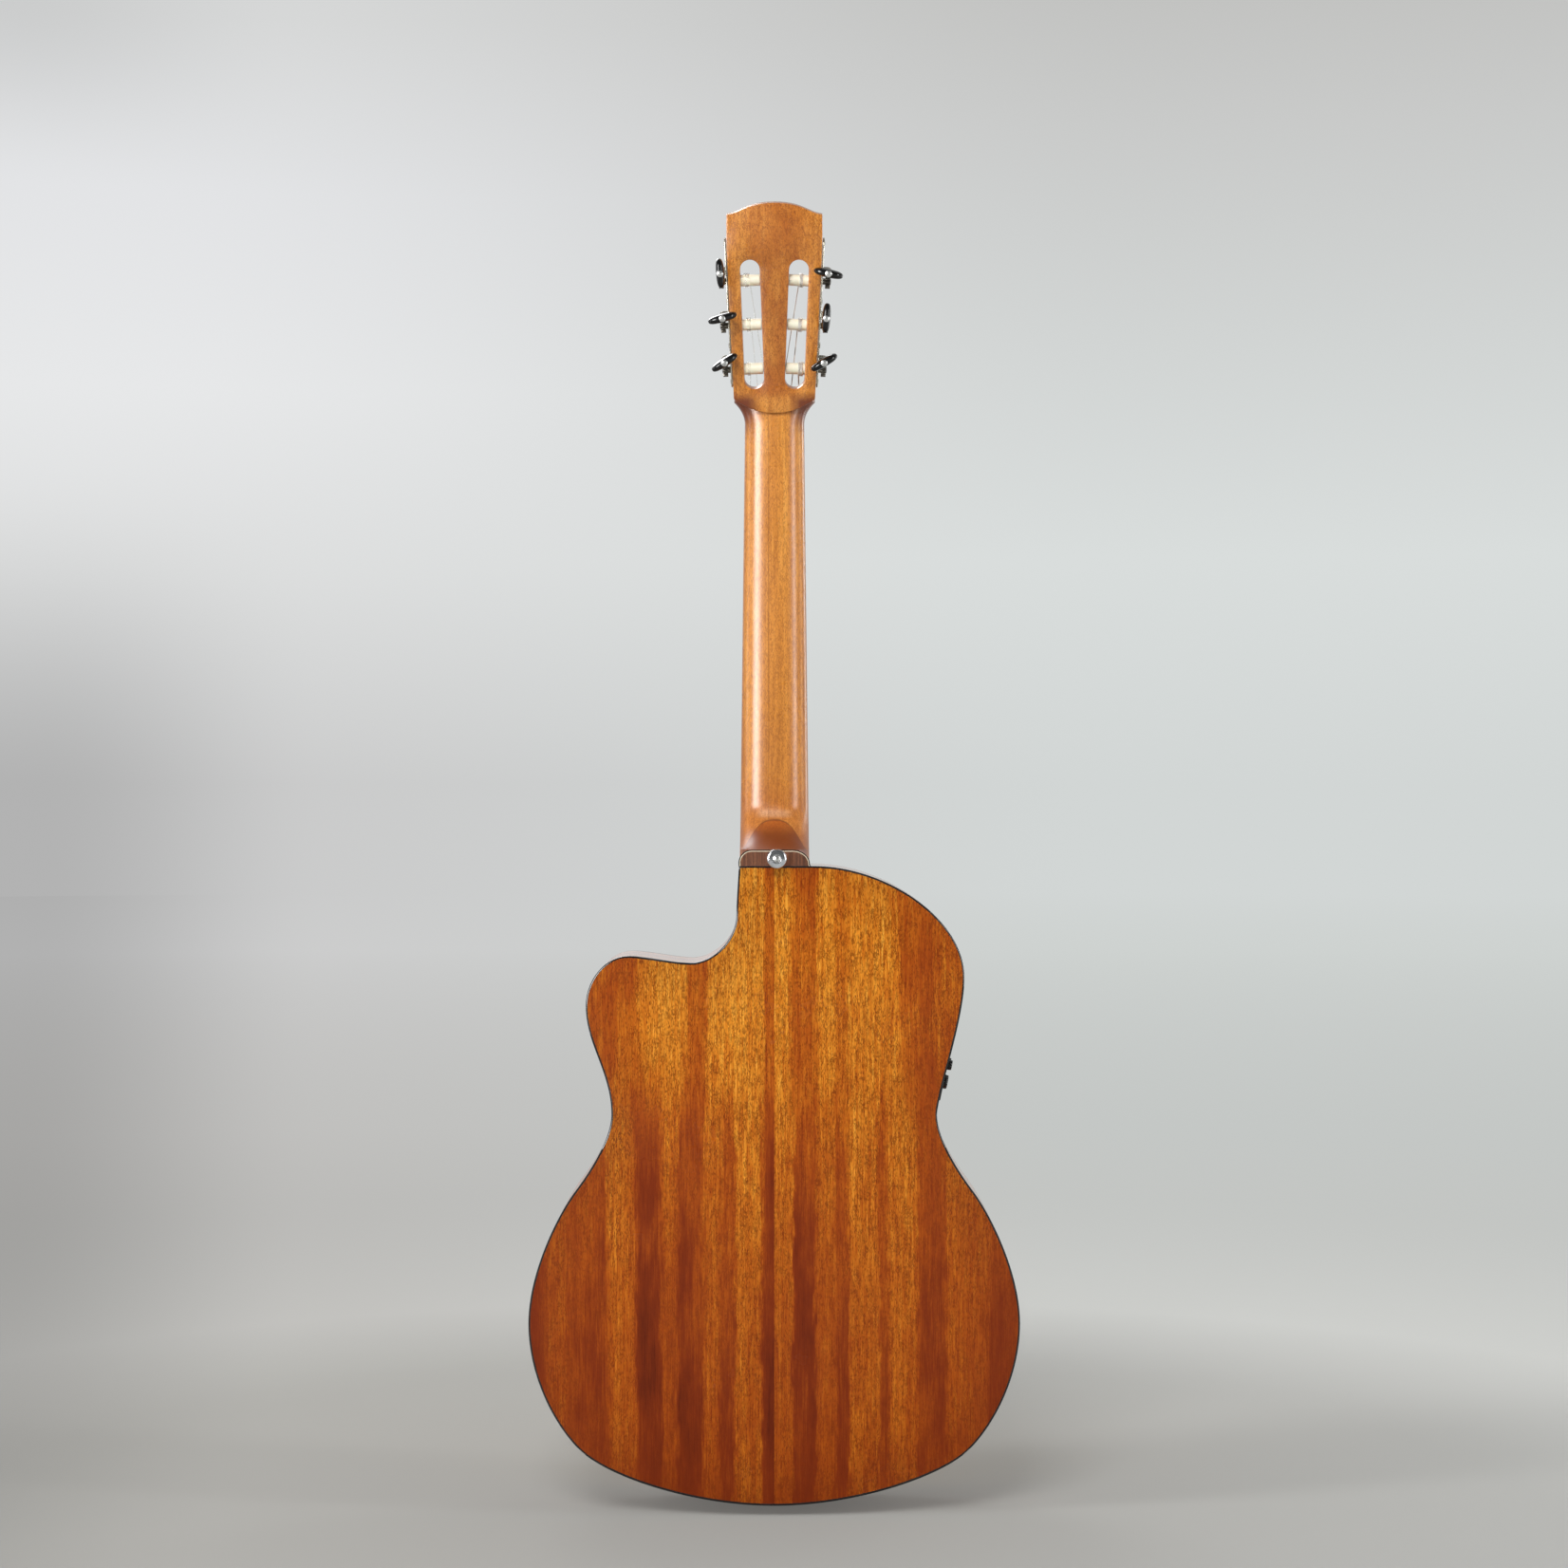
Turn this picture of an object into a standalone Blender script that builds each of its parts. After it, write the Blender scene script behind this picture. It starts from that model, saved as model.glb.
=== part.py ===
"""Acoustic-electric classical guitar with a cutaway, a slotted head and a side preamp.

The soundboard faces -Y, the back faces +Y and the neck runs up +Z. The origin is the
lowest point of the rim, on the centre line and half way through the body. Lengths are
in metres. The bass side is at -X, the treble side with the cutaway at +X.
"""

from math import atan2, ceil, cos, pi, radians, sin, sqrt, tan

import bmesh
import bpy
from mathutils import Matrix, Vector

CLEARANCE = 0.0003  # between pieces that touch on the real guitar

# Body outline, seen from the front. A drop is measured down from the body's upper end.
BODY_LENGTH = 0.4895
LOWER_BOUT_WIDTH = 0.3772
LOWER_BOUT_HEIGHT = 0.139
WAIST_WIDTH = 0.2500
WAIST_DROP = 0.1907
UPPER_BOUT_WIDTH = 0.2922
UPPER_BOUT_DROP = 0.0849
SHOULDER_FLAT = 0.030  # centre line to where the bass shoulder turns straight
HORN_REACH = 0.1448
HORN_DROP = 0.1072
CREST_REACH = 0.1126
CREST_DROP = 0.0691
DIP_REACH = 0.0645
DIP_DROP = 0.0744
WALL_REACH = 0.0290
WALL_DROP = 0.0370
WALL_END_INSET = 0.0002  # from the neck's side to the cutaway wall at the heel
OUTLINE_ERROR = 0.00035  # most that the outline's straight pieces stray from its curves

# Body depth and shell.
FRONT_Y = -0.045
BACK_AT_TAIL_Y = 0.045
BACK_AT_HEEL_Y = 0.039
BACK_ARCH_RADIUS = 4.6
SOUNDBOARD_THICKNESS = 0.0025
BACK_THICKNESS = 0.0025
SIDE_THICKNESS = 0.0020
BINDING_WIDTH = 0.0018
BINDING_HEIGHT = 0.0055
LINING_WIDTH = 0.006
LINING_HEIGHT = 0.014

# Soundhole and rosette.
SOUNDHOLE_RADIUS = 0.043
SOUNDHOLE_DROP = 0.1255
ROSETTE_INNER_RADIUS = 0.0470
ROSETTE_OUTER_RADIUS = 0.0570
ROSETTE_DEPTH = 0.0008
SOUNDHOLE_SIDES = 36

# Braces and blocks.
TOP_BRACE_HEIGHT = 0.006
FAN_WIDTH = 0.005
FAN_COUNT = 7
FAN_SPREAD = 0.030  # between the fans' lower ends
FAN_GATHER = 0.016  # between their upper ends
FAN_FOOT = 0.052  # the middle fan's lower end above the tail
FAN_FOOT_STEP = 0.004  # how much higher each next fan starts
CLOSING_BAR_START = (0.005, 0.043)
CLOSING_BAR_END = (0.112, 0.080)
BRACE_END_GAP = 0.004  # from the linings to the ends of the long bars
STRUT_GAP = 0.010  # from the soundhole to the struts beside it
LOWER_BAR_GAP = 0.009  # from the soundhole to the bar below it
UPPER_BAR_GAP = 0.006
HARMONIC_BAR_HEIGHT = 0.015
HARMONIC_BAR_WIDTH = 0.006
BACK_BAR_HEIGHT = 0.013
BACK_BAR_WIDTH = 0.007
BACK_STRIP_WIDTH = 0.016
BACK_STRIP_HEIGHT = 0.002
TAIL_STRIP_GAP = 0.012  # between the tail block and the strip along the back's seam
NECK_STRIP_GAP = 0.004
LOWER_BACK_BAR_RISE = 0.011  # above the widest place of the lower bout
UPPER_BACK_BAR_DROP = 0.0086  # below the widest place of the upper bout
NECK_BLOCK_WIDTH = 0.048
NECK_BLOCK_INNER_WIDTH = 0.038
NECK_BLOCK_LENGTH = 0.045
TAIL_BLOCK_WIDTH = 0.060
TAIL_BLOCK_LENGTH = 0.018

# Scale, fretboard and neck.
SCALE_LENGTH = 0.650
BODY_FRET = 14
FRET_COUNT = 19
FRETBOARD_THICKNESS = 0.006
WIDTH_AT_NUT = 0.0468
WIDTH_AT_BODY = 0.0548
FRET_WIDTH = 0.0022
FRET_HEIGHT = 0.0010
FRET_END_INSET = 0.0004
FRET_TANG = 0.0015
FRETBOARD_OVERHANG = 0.005  # past the last fret
NUT_LENGTH = 0.0045
NUT_HEIGHT = 0.0073  # above the neck's glue plane
SHAFT_BACK_AT_BODY_Y = -0.0284
SHAFT_BACK_AT_NUT_Y = -0.0302
HEEL_LENGTH = 0.0125
HEEL_SCOOP_LENGTH = 0.0375
HEEL_CAP_THICKNESS = 0.003
HEEL_CAP_CORNER = 0.004
FLARE_LENGTH = 0.018
TRIM_OVERLAP = 0.003  # of the two flat cuts that meet under the nut
TRIM_REACH = 0.030  # how far the cuts reach out of the wood
NECK_SECTION_POINTS = 16
TRUSS_ROD_RADIUS = 0.003
TRUSS_ROD_Y = -0.0361
TRUSS_NUT_RADIUS = 0.0042
TRUSS_NUT_LENGTH = 0.011
TRUSS_ROD_TOP_MARGIN = 0.012

# Head, in its own frame: x across, y back from its face, z up along it.
HEAD_TILT = radians(13)
HEAD_LENGTH = 0.1573
HEAD_THICKNESS = 0.0195
HEAD_TOP_WIDTH = 0.0749
HEAD_FOOT_WIDTH = 0.0640
HEAD_FOOT_HEIGHT = 0.005
HEAD_TAPER_TOP = 0.123
HEAD_CORNER_DROP = 0.0091
CROWN_FLAT = 0.022
HEAD_ARC_DROP = 0.011
VENEER_THICKNESS = 0.002
SLOT_WIDTH = 0.0154
SLOT_FOOT = 0.0130
SLOT_TOP = 0.1135
SLOT_FOOT_X = 0.0159
SLOT_TOP_X = 0.0192
SLOT_RAMP = 0.0055  # how much further the veneer's slots open towards the nut

# Tuners, in the frame of one edge of the head.
ROLLER_SPACING = 0.0345
FIRST_ROLLER = 0.0273
ROLLER_RADIUS = 0.0045
ROLLER_SIDES = 10
ROLLER_DEPTH = 0.0100  # behind the head's face
ROLLER_PIN_RADIUS = 0.0020
ROLLER_PIN_LENGTH = 0.0060
ROLLER_SHAFT_RADIUS = 0.0025
PLATE_THICKNESS = 0.0012
PLATE_WIDTH = 0.0160
PLATE_FOOT = 0.0138
PLATE_TOP = 0.1300
GEAR_TEETH = 14
GEAR_RADIUS = 0.0055
GEAR_TOOTH_DEPTH = 0.0011
GEAR_THICKNESS = 0.0038
WORM_OFFSET = 0.0080  # from the roller's axis
WORM_STANDOFF = 0.0040  # from the plate
WORM_RADIUS = 0.0023
WORM_GROOVE = 0.0007
WORM_PITCH = 0.00245
WORM_TURNS = 4
WORM_SIDES = 6
WORM_SHAFT_RADIUS = 0.0014
BRACKET_THICKNESS = 0.0020
BRACKET_GAP = 0.0115  # between the two brackets that hold one worm
BUTTON_LENGTH = 0.0230
BUTTON_THICKNESS = 0.0066
BUTTON_DEPTH = 0.0130
BUTTON_START = 0.0250  # behind the head's face
BUTTON_SCREW_RADIUS = 0.0025
BUTTON_SCREW_HEIGHT = 0.0010
BASS_BUTTON_TURNS = (147, 92, 10)  # degrees, lowest tuner first
TREBLE_BUTTON_TURNS = (150, 167, 88)
ROUND_SIDES = 12

# Bridge and strings.
BRIDGE_LENGTH = 0.186
BRIDGE_CENTRE_LENGTH = 0.086
BRIDGE_BACK = 0.0172  # from the saddle towards the tail
BRIDGE_FRONT = 0.0125
WING_HEIGHT = 0.0032
TIE_BLOCK_HEIGHT = 0.0088
RIDGE_HEIGHT = 0.0064  # on both sides of the saddle
TIE_BLOCK_LENGTH = 0.0105
VALLEY_HEIGHT = 0.0042
SADDLE_THICKNESS = 0.003
SADDLE_LENGTH = 0.080
SADDLE_HEIGHT = 0.0115  # above the soundboard
SADDLE_SLOT_DEPTH = 0.0040
PICKUP_THICKNESS = 0.0012
PICKUP_LENGTH = 0.074
TIE_HOLE_RADIUS = 0.0009
TIE_HOLE_HEIGHT = 0.0056
SPACING_AT_NUT = 0.0079
SPACING_AT_SADDLE = 0.0116
STRING_GAUGES = (0.00071, 0.00081, 0.00102, 0.00074, 0.00086, 0.00109)  # string 1 first
STRING_TURNS = (2.25, 2.25, 2.25, 2.25, 2.25, 2.25)
STRING_START_Q = (-0.0144, -0.0161, -0.0165)  # where the winding starts, lowest roller first
TURN_POINTS = 24
TURN_GAP = 0.00055

# Hardware on the ends of the body.
STRAP_BUTTON_X = -0.002
STRAP_BUTTON_RISE = 0.0057  # above the body's upper end
STRAP_BUTTON_RADIUS = 0.0075
STRAP_BUTTON_LENGTH = 0.0105
JACK_FLANGE_RADIUS = 0.0075
JACK_FLANGE_LENGTH = 0.0085
JACK_BARREL_RADIUS = 0.0060
JACK_BARREL_LENGTH = 0.034
JACK_BORE_RADIUS = 0.0032

# Preamp, in the frame of its panel: x out of the side, z along it.
PANEL_DROP = 0.1375
PANEL_LET_IN = 0.0012  # from the side's outer face to the panel's seat
PANEL_Y = -0.0025
PANEL_LENGTH = 0.090
PANEL_WIDTH = 0.044
PANEL_PROUD = 0.0015
PANEL_THICKNESS = 0.0025
HOUSING_LENGTH = 0.084
HOUSING_WIDTH = 0.040
HOUSING_DEPTH = 0.028
HOUSING_WALL = 0.0015
BOARD_THICKNESS = 0.0016
BOARD_DEPTH = 0.0064
BOARD_LENGTH = 0.056
VOLUME_KNOB_RADIUS = 0.0057
VOLUME_KNOB_Z = -0.0317
TONE_KNOB_RADIUS = 0.0041
TONE_KNOB_Z = -0.0174
TONE_KNOB_Y = 0.0105
KNOB_HEIGHT = 0.0046
KNOB_SHAFT_RADIUS = 0.0020
KNOB_FLUTES = 12
WINDOW_SIZE = (0.018, 0.022)
WINDOW_CENTRE = (-0.005, 0.005)
WINDOW_DEPTH = 0.0008
TUNER_BUTTON_RADIUS = 0.0030
TUNER_BUTTON_Y = 0.013
TUNER_BUTTON_Z = 0.005
TUNER_BUTTON_PROUD = 0.0012
TUNER_BUTTON_TRAVEL = 0.0008
CELL_RADIUS = 0.0100
CELL_THICKNESS = 0.0032
TRAY_Z = 0.0285
TRAY_WALL = 0.0010
TRAY_FACE_THICKNESS = 0.0014

# Places that follow from the sizes above.
WAIST_HEIGHT = BODY_LENGTH - WAIST_DROP
UPPER_BOUT_HEIGHT = BODY_LENGTH - UPPER_BOUT_DROP
SOUNDHOLE_HEIGHT = BODY_LENGTH - SOUNDHOLE_DROP
PANEL_HEIGHT_ON_BODY = BODY_LENGTH - PANEL_DROP
CUTAWAY_END = WIDTH_AT_BODY / 2 - WALL_END_INSET
NUT_Z = BODY_LENGTH + SCALE_LENGTH * (1 - 2 ** (-BODY_FRET / 12))
SADDLE_Z = NUT_Z - SCALE_LENGTH
HEAD_BEND_Z = NUT_Z + NUT_LENGTH + 0.0005
EDGE_SLOPE = atan2((HEAD_TOP_WIDTH - HEAD_FOOT_WIDTH) / 2, HEAD_TAPER_TOP - HEAD_FOOT_HEIGHT)
EDGE_FOOT = HEAD_FOOT_WIDTH / 2 - HEAD_FOOT_HEIGHT * tan(EDGE_SLOPE)


def remove_startup_objects():
    for obj in list(bpy.data.objects):
        bpy.data.objects.remove(obj, do_unlink=True)


remove_startup_objects()
GUITAR = bpy.data.collections.new("classical_guitar")
CUTTERS = bpy.data.collections.new("cutters")
for group in (GUITAR, CUTTERS):
    bpy.context.scene.collection.children.link(group)


def material(name, colour, roughness, metallic=0.0):
    made = bpy.data.materials.get(name) or bpy.data.materials.new(name)
    made.use_nodes = True
    shader = made.node_tree.nodes["Principled BSDF"]
    shader.inputs["Base Color"].default_value = (*colour, 1.0)
    shader.inputs["Roughness"].default_value = roughness
    shader.inputs["Metallic"].default_value = metallic
    made.diffuse_color = (*colour, 1.0)
    return made


MAHOGANY = material("ribbon_mahogany", (0.42, 0.16, 0.06), 0.35)
NECK_MAHOGANY = material("neck_mahogany", (0.40, 0.20, 0.09), 0.40)
SPRUCE = material("spruce", (0.72, 0.52, 0.29), 0.40)
BRACE_SPRUCE = material("brace_spruce", (0.74, 0.58, 0.38), 0.60)
LINING_WOOD = material("lining_wood", (0.55, 0.36, 0.20), 0.60)
DARK_WOOD = material("dark_wood", (0.10, 0.05, 0.03), 0.45)
BLACK_BINDING = material("black_binding", (0.015, 0.013, 0.012), 0.25)
BONE = material("bone", (0.86, 0.82, 0.72), 0.35)
ROSETTE_MOSAIC = material("rosette_mosaic", (0.30, 0.18, 0.08), 0.40)
GOLDEN_METAL = material("plated_metal", (0.55, 0.50, 0.42), 0.30, 1.0)
CHROME = material("chrome", (0.70, 0.70, 0.70), 0.12, 1.0)
STEEL = material("steel", (0.45, 0.45, 0.46), 0.35, 1.0)
BLACK_PLASTIC = material("black_plastic", (0.02, 0.02, 0.02), 0.30)
CREAM_PLASTIC = material("cream_plastic", (0.80, 0.74, 0.60), 0.35)
NYLON = material("nylon", (0.80, 0.80, 0.78), 0.20)
WOUND_STRING = material("wound_string", (0.45, 0.42, 0.38), 0.35, 1.0)
BOARD_GREEN = material("board_green", (0.03, 0.16, 0.07), 0.50)


def empty(name, matrix, parent=None):
    """A frame that pieces are placed in; it makes no solid."""
    frame = bpy.data.objects.new(name, None)
    GUITAR.objects.link(frame)
    frame.parent = parent
    frame.matrix_local = matrix
    return frame


def head_matrix():
    return Matrix.Translation((0, FRONT_Y, HEAD_BEND_Z)) @ Matrix.Rotation(-HEAD_TILT, 4, "X")


def edge_matrix(side):
    """Frame on one edge face of the head: x runs across the head, z along the edge."""
    return Matrix.Translation((side * EDGE_FOOT, 0, 0)) @ Matrix.Rotation(side * EDGE_SLOPE, 4, "Y")


BODY_FRAME = empty("body_frame", Matrix.Identity(4))
HEAD_FRAME = empty("head_frame", head_matrix(), BODY_FRAME)
EDGE_FRAMES = {side: empty(f"edge_frame_{side}", edge_matrix(side), HEAD_FRAME) for side in (-1, 1)}


def piece(name, mesh, look, frame=BODY_FRAME, place=Matrix.Identity(4)):
    """Puts a mesh into the guitar as a named piece."""
    obj = bpy.data.objects.new(name, mesh)
    GUITAR.objects.link(obj)
    obj.parent = frame
    obj.matrix_local = place
    mesh.materials.clear()
    mesh.materials.append(look)
    return obj


def helper(obj):
    """Turns a piece into a cutter or a join body, which is not a piece of its own."""
    GUITAR.objects.unlink(obj)
    CUTTERS.objects.link(obj)
    obj.hide_render = True
    obj.display_type = "WIRE"
    return obj


def combine(target, other, operation):
    step = target.modifiers.new(f"{operation.lower()}_{other.name}", "BOOLEAN")
    step.operation = operation
    step.solver = "EXACT"
    step.object = helper(other)


def cut(target, other):
    combine(target, other, "DIFFERENCE")


def join(target, other):
    combine(target, other, "UNION")


def finished(name, bm, smooth=None):
    """The mesh of a bmesh, with its faces turned outwards."""
    bmesh.ops.recalc_face_normals(bm, faces=bm.faces[:])
    mesh = bpy.data.meshes.new(name)
    bm.to_mesh(mesh)
    bm.free()
    if smooth:
        mesh.shade_smooth()
        mesh.set_sharp_from_angle(angle=radians(smooth))
    return mesh


def box(name, low, high, look=BRACE_SPRUCE, frame=BODY_FRAME, place=Matrix.Identity(4)):
    """A box between two corners of its frame."""
    bm = bmesh.new()
    bmesh.ops.create_cube(bm, size=1.0)
    low, high = Vector(low), Vector(high)
    bmesh.ops.scale(bm, vec=high - low, verts=bm.verts[:])
    bmesh.ops.translate(bm, vec=(low + high) / 2, verts=bm.verts[:])
    return piece(name, finished(name, bm), look, frame, place)


def turned(name, profile, look, frame, place, sides=ROUND_SIDES):
    """A turned piece about local Z; the profile lists (radius, z) from top to bottom."""
    mesh = bpy.data.meshes.new(name)
    points = [(radius, 0, height) for radius, height in profile]
    mesh.from_pydata(points, [(i, i + 1) for i in range(len(points) - 1)], [])
    obj = piece(name, mesh, look, frame, place)
    spin = obj.modifiers.new("turned", "SCREW")
    spin.steps = spin.render_steps = sides
    spin.use_merge_vertices = True
    spin.merge_threshold = 0.00001
    spin.use_smooth_shade = True
    return obj


def rod(name, radius, low, high, look, frame, place, sides=ROUND_SIDES):
    return turned(name, [(0, high), (radius, high), (radius, low), (0, low)], look, frame, place, sides)


def along_y(x=0.0, y=0.0, z=0.0):
    """Place of a turned piece whose axis runs along +Y of its frame."""
    return Matrix.Translation((x, y, z)) @ Matrix.Rotation(-pi / 2, 4, "X")


def along_x(x=0.0, y=0.0, z=0.0, side=1):
    """Place of a turned piece whose axis runs along +X of its frame, or -X for side -1."""
    return Matrix.Translation((x, y, z)) @ Matrix.Rotation(side * pi / 2, 4, "Y")


def bezier(start, start_handle, end_handle, end, steps):
    """Points along a cubic curve, without its end."""
    found = []
    for i in range(steps):
        t = i / steps
        s = 1 - t
        found.append(start * s**3 + start_handle * 3 * s * s * t + end_handle * 3 * s * t * t + end * t**3)
    return found


def steps_along(start, start_handle, end_handle, end):
    """Straight pieces that a cubic curve needs, from its length and how much it turns."""
    trial = bezier(start, start_handle, end_handle, end, 12) + [end]
    runs = [after - before for before, after in zip(trial[:-1], trial[1:])]
    length = sum(run.length for run in runs)
    turning = sum(abs(first.angle_signed(second)) for first, second in zip(runs[:-1], runs[1:]))
    return max(2, ceil(sqrt(length * turning / (8 * OUTLINE_ERROR))))


def curve_through(anchors):
    """Points along anchors (x, z, heading in degrees, pull before, pull after).

    A pull is the length of a curve's handle as a share of the way to the next anchor.
    """
    found = []
    for first, second in zip(anchors[:-1], anchors[1:]):
        start, end = Vector(first[:2]), Vector(second[:2])
        way = (end - start).length
        leaving = Vector((cos(radians(first[2])), sin(radians(first[2])))) * first[4] * way
        arriving = Vector((cos(radians(second[2])), sin(radians(second[2])))) * second[3] * way
        curve = (start, start + leaving, end - arriving, end)
        found += bezier(*curve, steps_along(*curve))
    return found + [Vector(anchors[-1][:2])]


def lower_anchors():
    """Tail to waist, the same on both sides."""
    return [
        (0.0, 0.0, 0, 0.0, 0.404),
        (0.79 * LOWER_BOUT_WIDTH / 2, 0.302 * LOWER_BOUT_HEIGHT, 44, 0.186, 0.271),
        (LOWER_BOUT_WIDTH / 2, LOWER_BOUT_HEIGHT, 90, 0.378, 0.338),
        (0.431 * LOWER_BOUT_WIDTH / 2 + 0.568 * WAIST_WIDTH / 2,
         0.365 * LOWER_BOUT_HEIGHT + 0.635 * WAIST_HEIGHT, 127, 0.236, 0.231),
    ]


def bass_curve():
    waist = (WAIST_WIDTH / 2, WAIST_HEIGHT, 90, 0.303, 0.145)
    upper = (UPPER_BOUT_WIDTH / 2, UPPER_BOUT_HEIGHT, 90, 0.311, 0.302)
    shoulder = (SHOULDER_FLAT, BODY_LENGTH, 180, 0.396, 0.0)
    return curve_through(lower_anchors() + [waist, upper, shoulder])


def treble_curve():
    waist = (WAIST_WIDTH / 2, WAIST_HEIGHT, 90, 0.303, 0.387)
    horn = (HORN_REACH, BODY_LENGTH - HORN_DROP, 90, 0.345, 0.393)
    crest = (CREST_REACH, BODY_LENGTH - CREST_DROP, 180, 0.343, 0.273)
    dip = (DIP_REACH, BODY_LENGTH - DIP_DROP, 180, 0.267, 0.339)
    wall = (WALL_REACH, BODY_LENGTH - WALL_DROP, 90, 0.380, 0.286)
    end = (CUTAWAY_END, BODY_LENGTH, 90, 0.135, 0.0)
    return curve_through(lower_anchors() + [waist, horn, crest, dip, wall, end])


def body_outline():
    """The whole rim, from the tail up the bass side and down the treble side."""
    bass = [Vector((-p.x, p.y)) for p in bass_curve()]
    behind_heel = Vector((CUTAWAY_END - SIDE_THICKNESS - 3 * CLEARANCE, BODY_LENGTH))
    treble = treble_curve()[::-1]
    return bass + [behind_heel] + treble[:-1], len(bass)


RIM, BASS_COUNT = body_outline()


def inset(points, distance):
    """The closed outline moved inwards by a distance, with mitred corners."""
    moved = []
    count = len(points)
    for i, point in enumerate(points):
        before = (point - points[i - 1]).normalized()
        after = (points[(i + 1) % count] - point).normalized()
        normal_before = Vector((before.y, -before.x))
        normal_after = Vector((after.y, -after.x))
        moved.append(point + (normal_before + normal_after) * distance / (1 + normal_before.dot(normal_after)))
    return moved


def crossings(outline, along, place):
    """Where a closed outline crosses a line: along 0 for a given x, 1 for a given z."""
    found = []
    for first, second in zip(outline, outline[1:] + outline[:1]):
        if min(first[along], second[along]) <= place < max(first[along], second[along]):
            share = (place - first[along]) / (second[along] - first[along])
            found.append((first + (second - first) * share)[1 - along])
    return found


def reach_at(outline, side, height):
    """Distance from the centre line to an outline, on one side and at one height."""
    return min(abs(x) for x in crossings(outline, 1, height) if x * side > 0)


INSIDE = inset(RIM, SIDE_THICKNESS + CLEARANCE + LINING_WIDTH + BRACE_END_GAP)


def bar_end(side, height, width):
    """(x, z) of a straight bar's end, a gap away from the linings on one side."""
    reach = min(reach_at(INSIDE, side, height + way * width / 2) for way in (-1, 1))
    return side * reach, height


def panel_matrix():
    """Frame on the bass side of the body: x points out of the side and z along it."""
    low = PANEL_HEIGHT_ON_BODY - PANEL_LENGTH / 2
    high = PANEL_HEIGHT_ON_BODY + PANEL_LENGTH / 2
    tilt = atan2(reach_at(RIM, -1, high) - reach_at(RIM, -1, low), high - low)
    out = Vector((-cos(tilt), 0, -sin(tilt)))
    along = Vector((-sin(tilt), 0, cos(tilt)))
    across = along.cross(out)
    turn = Matrix((out, across, along)).transposed().to_4x4()
    seat = reach_at(RIM, -1, PANEL_HEIGHT_ON_BODY) - PANEL_LET_IN
    return Matrix.Translation((-seat, PANEL_Y, PANEL_HEIGHT_ON_BODY)) @ turn


PANEL_FRAME = empty("panel_frame", panel_matrix(), BODY_FRAME)


def front_at(depth):
    """A plane parallel to the soundboard, a depth behind its face."""
    return lambda x, z: FRONT_Y + depth


def back_at(depth):
    """A surface parallel to the arched back, a depth in front of it."""
    taper = (BACK_AT_HEEL_Y - BACK_AT_TAIL_Y) / BODY_LENGTH
    return lambda x, z: BACK_AT_TAIL_Y + taper * z - x * x / (2 * BACK_ARCH_RADIUS) - depth


def raise_slab(bm, front, back):
    """Turns the flat faces of bm, in the XZ plane, into a slab between two surfaces."""
    lower = bm.verts[:]
    grown = bmesh.ops.extrude_face_region(bm, geom=bm.faces[:])
    upper = [v for v in grown["geom"] if isinstance(v, bmesh.types.BMVert)]
    for vert in lower:
        vert.co.y = front(vert.co.x, vert.co.z)
    for vert in upper:
        vert.co.y = back(vert.co.x, vert.co.z)


def outline_face(bm, points):
    return bm.faces.new([bm.verts.new((p[0], 0, p[1])) for p in points])


def slab(name, points, front, back, look, frame=BODY_FRAME, grid=None, place=Matrix.Identity(4)):
    """A flat outline given thickness; a grid size adds the points that an arched face needs."""
    bm = bmesh.new()
    outline_face(bm, points)
    if grid:
        for axis, normal in ((0, (1, 0, 0)), (1, (0, 0, 1))):
            low = min(p[axis] for p in points)
            high = max(p[axis] for p in points)
            lines = int((high - low) / grid)
            for i in range(1, lines + 1):
                place_on = low + (high - low) * i / (lines + 1)
                spot = (place_on, 0, 0) if axis == 0 else (0, 0, place_on)
                everything = bm.verts[:] + bm.edges[:] + bm.faces[:]
                bmesh.ops.bisect_plane(bm, geom=everything, plane_co=spot, plane_no=normal, dist=0.00001)
    raise_slab(bm, front, back)
    return piece(name, finished(name, bm, 40), look, frame, place)


def flat(value):
    return lambda x, z: value


def band(name, outer, inner, front, back, look, closed=False):
    """A wall between two matching lines of points."""
    bm = bmesh.new()
    outside = [bm.verts.new((p[0], 0, p[1])) for p in outer]
    inside = [bm.verts.new((p[0], 0, p[1])) for p in inner]
    count = len(outer)
    for i in range(count if closed else count - 1):
        after = (i + 1) % count
        bm.faces.new((outside[i], outside[after], inside[after], inside[i]))
    raise_slab(bm, front, back)
    return piece(name, finished(name, bm, 40), look)


def make_soundboard():
    """Spruce top, with its soundhole and the channel for the rosette."""
    outline = inset(RIM, BINDING_WIDTH + CLEARANCE)
    top = slab("soundboard", outline, front_at(0), front_at(SOUNDBOARD_THICKNESS), SPRUCE)
    hole = rod("soundhole", SOUNDHOLE_RADIUS, -0.02, 0.02, SPRUCE, BODY_FRAME,
               along_y(0, FRONT_Y, SOUNDHOLE_HEIGHT), SOUNDHOLE_SIDES)
    cut(top, hole)
    ring = rosette_ring("rosette_channel", ROSETTE_INNER_RADIUS, ROSETTE_OUTER_RADIUS, -0.01,
                        ROSETTE_DEPTH + CLEARANCE)
    cut(top, ring)
    rosette_ring("rosette", ROSETTE_INNER_RADIUS + CLEARANCE, ROSETTE_OUTER_RADIUS - CLEARANCE, 0,
                 ROSETTE_DEPTH)


def rosette_ring(name, inner, outer, front, back):
    profile = [(inner, back), (inner, front), (outer, front), (outer, back), (inner, back)]
    return turned(name, profile[::-1], ROSETTE_MOSAIC, BODY_FRAME, along_y(0, FRONT_Y, SOUNDHOLE_HEIGHT),
                  SOUNDHOLE_SIDES)


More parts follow.
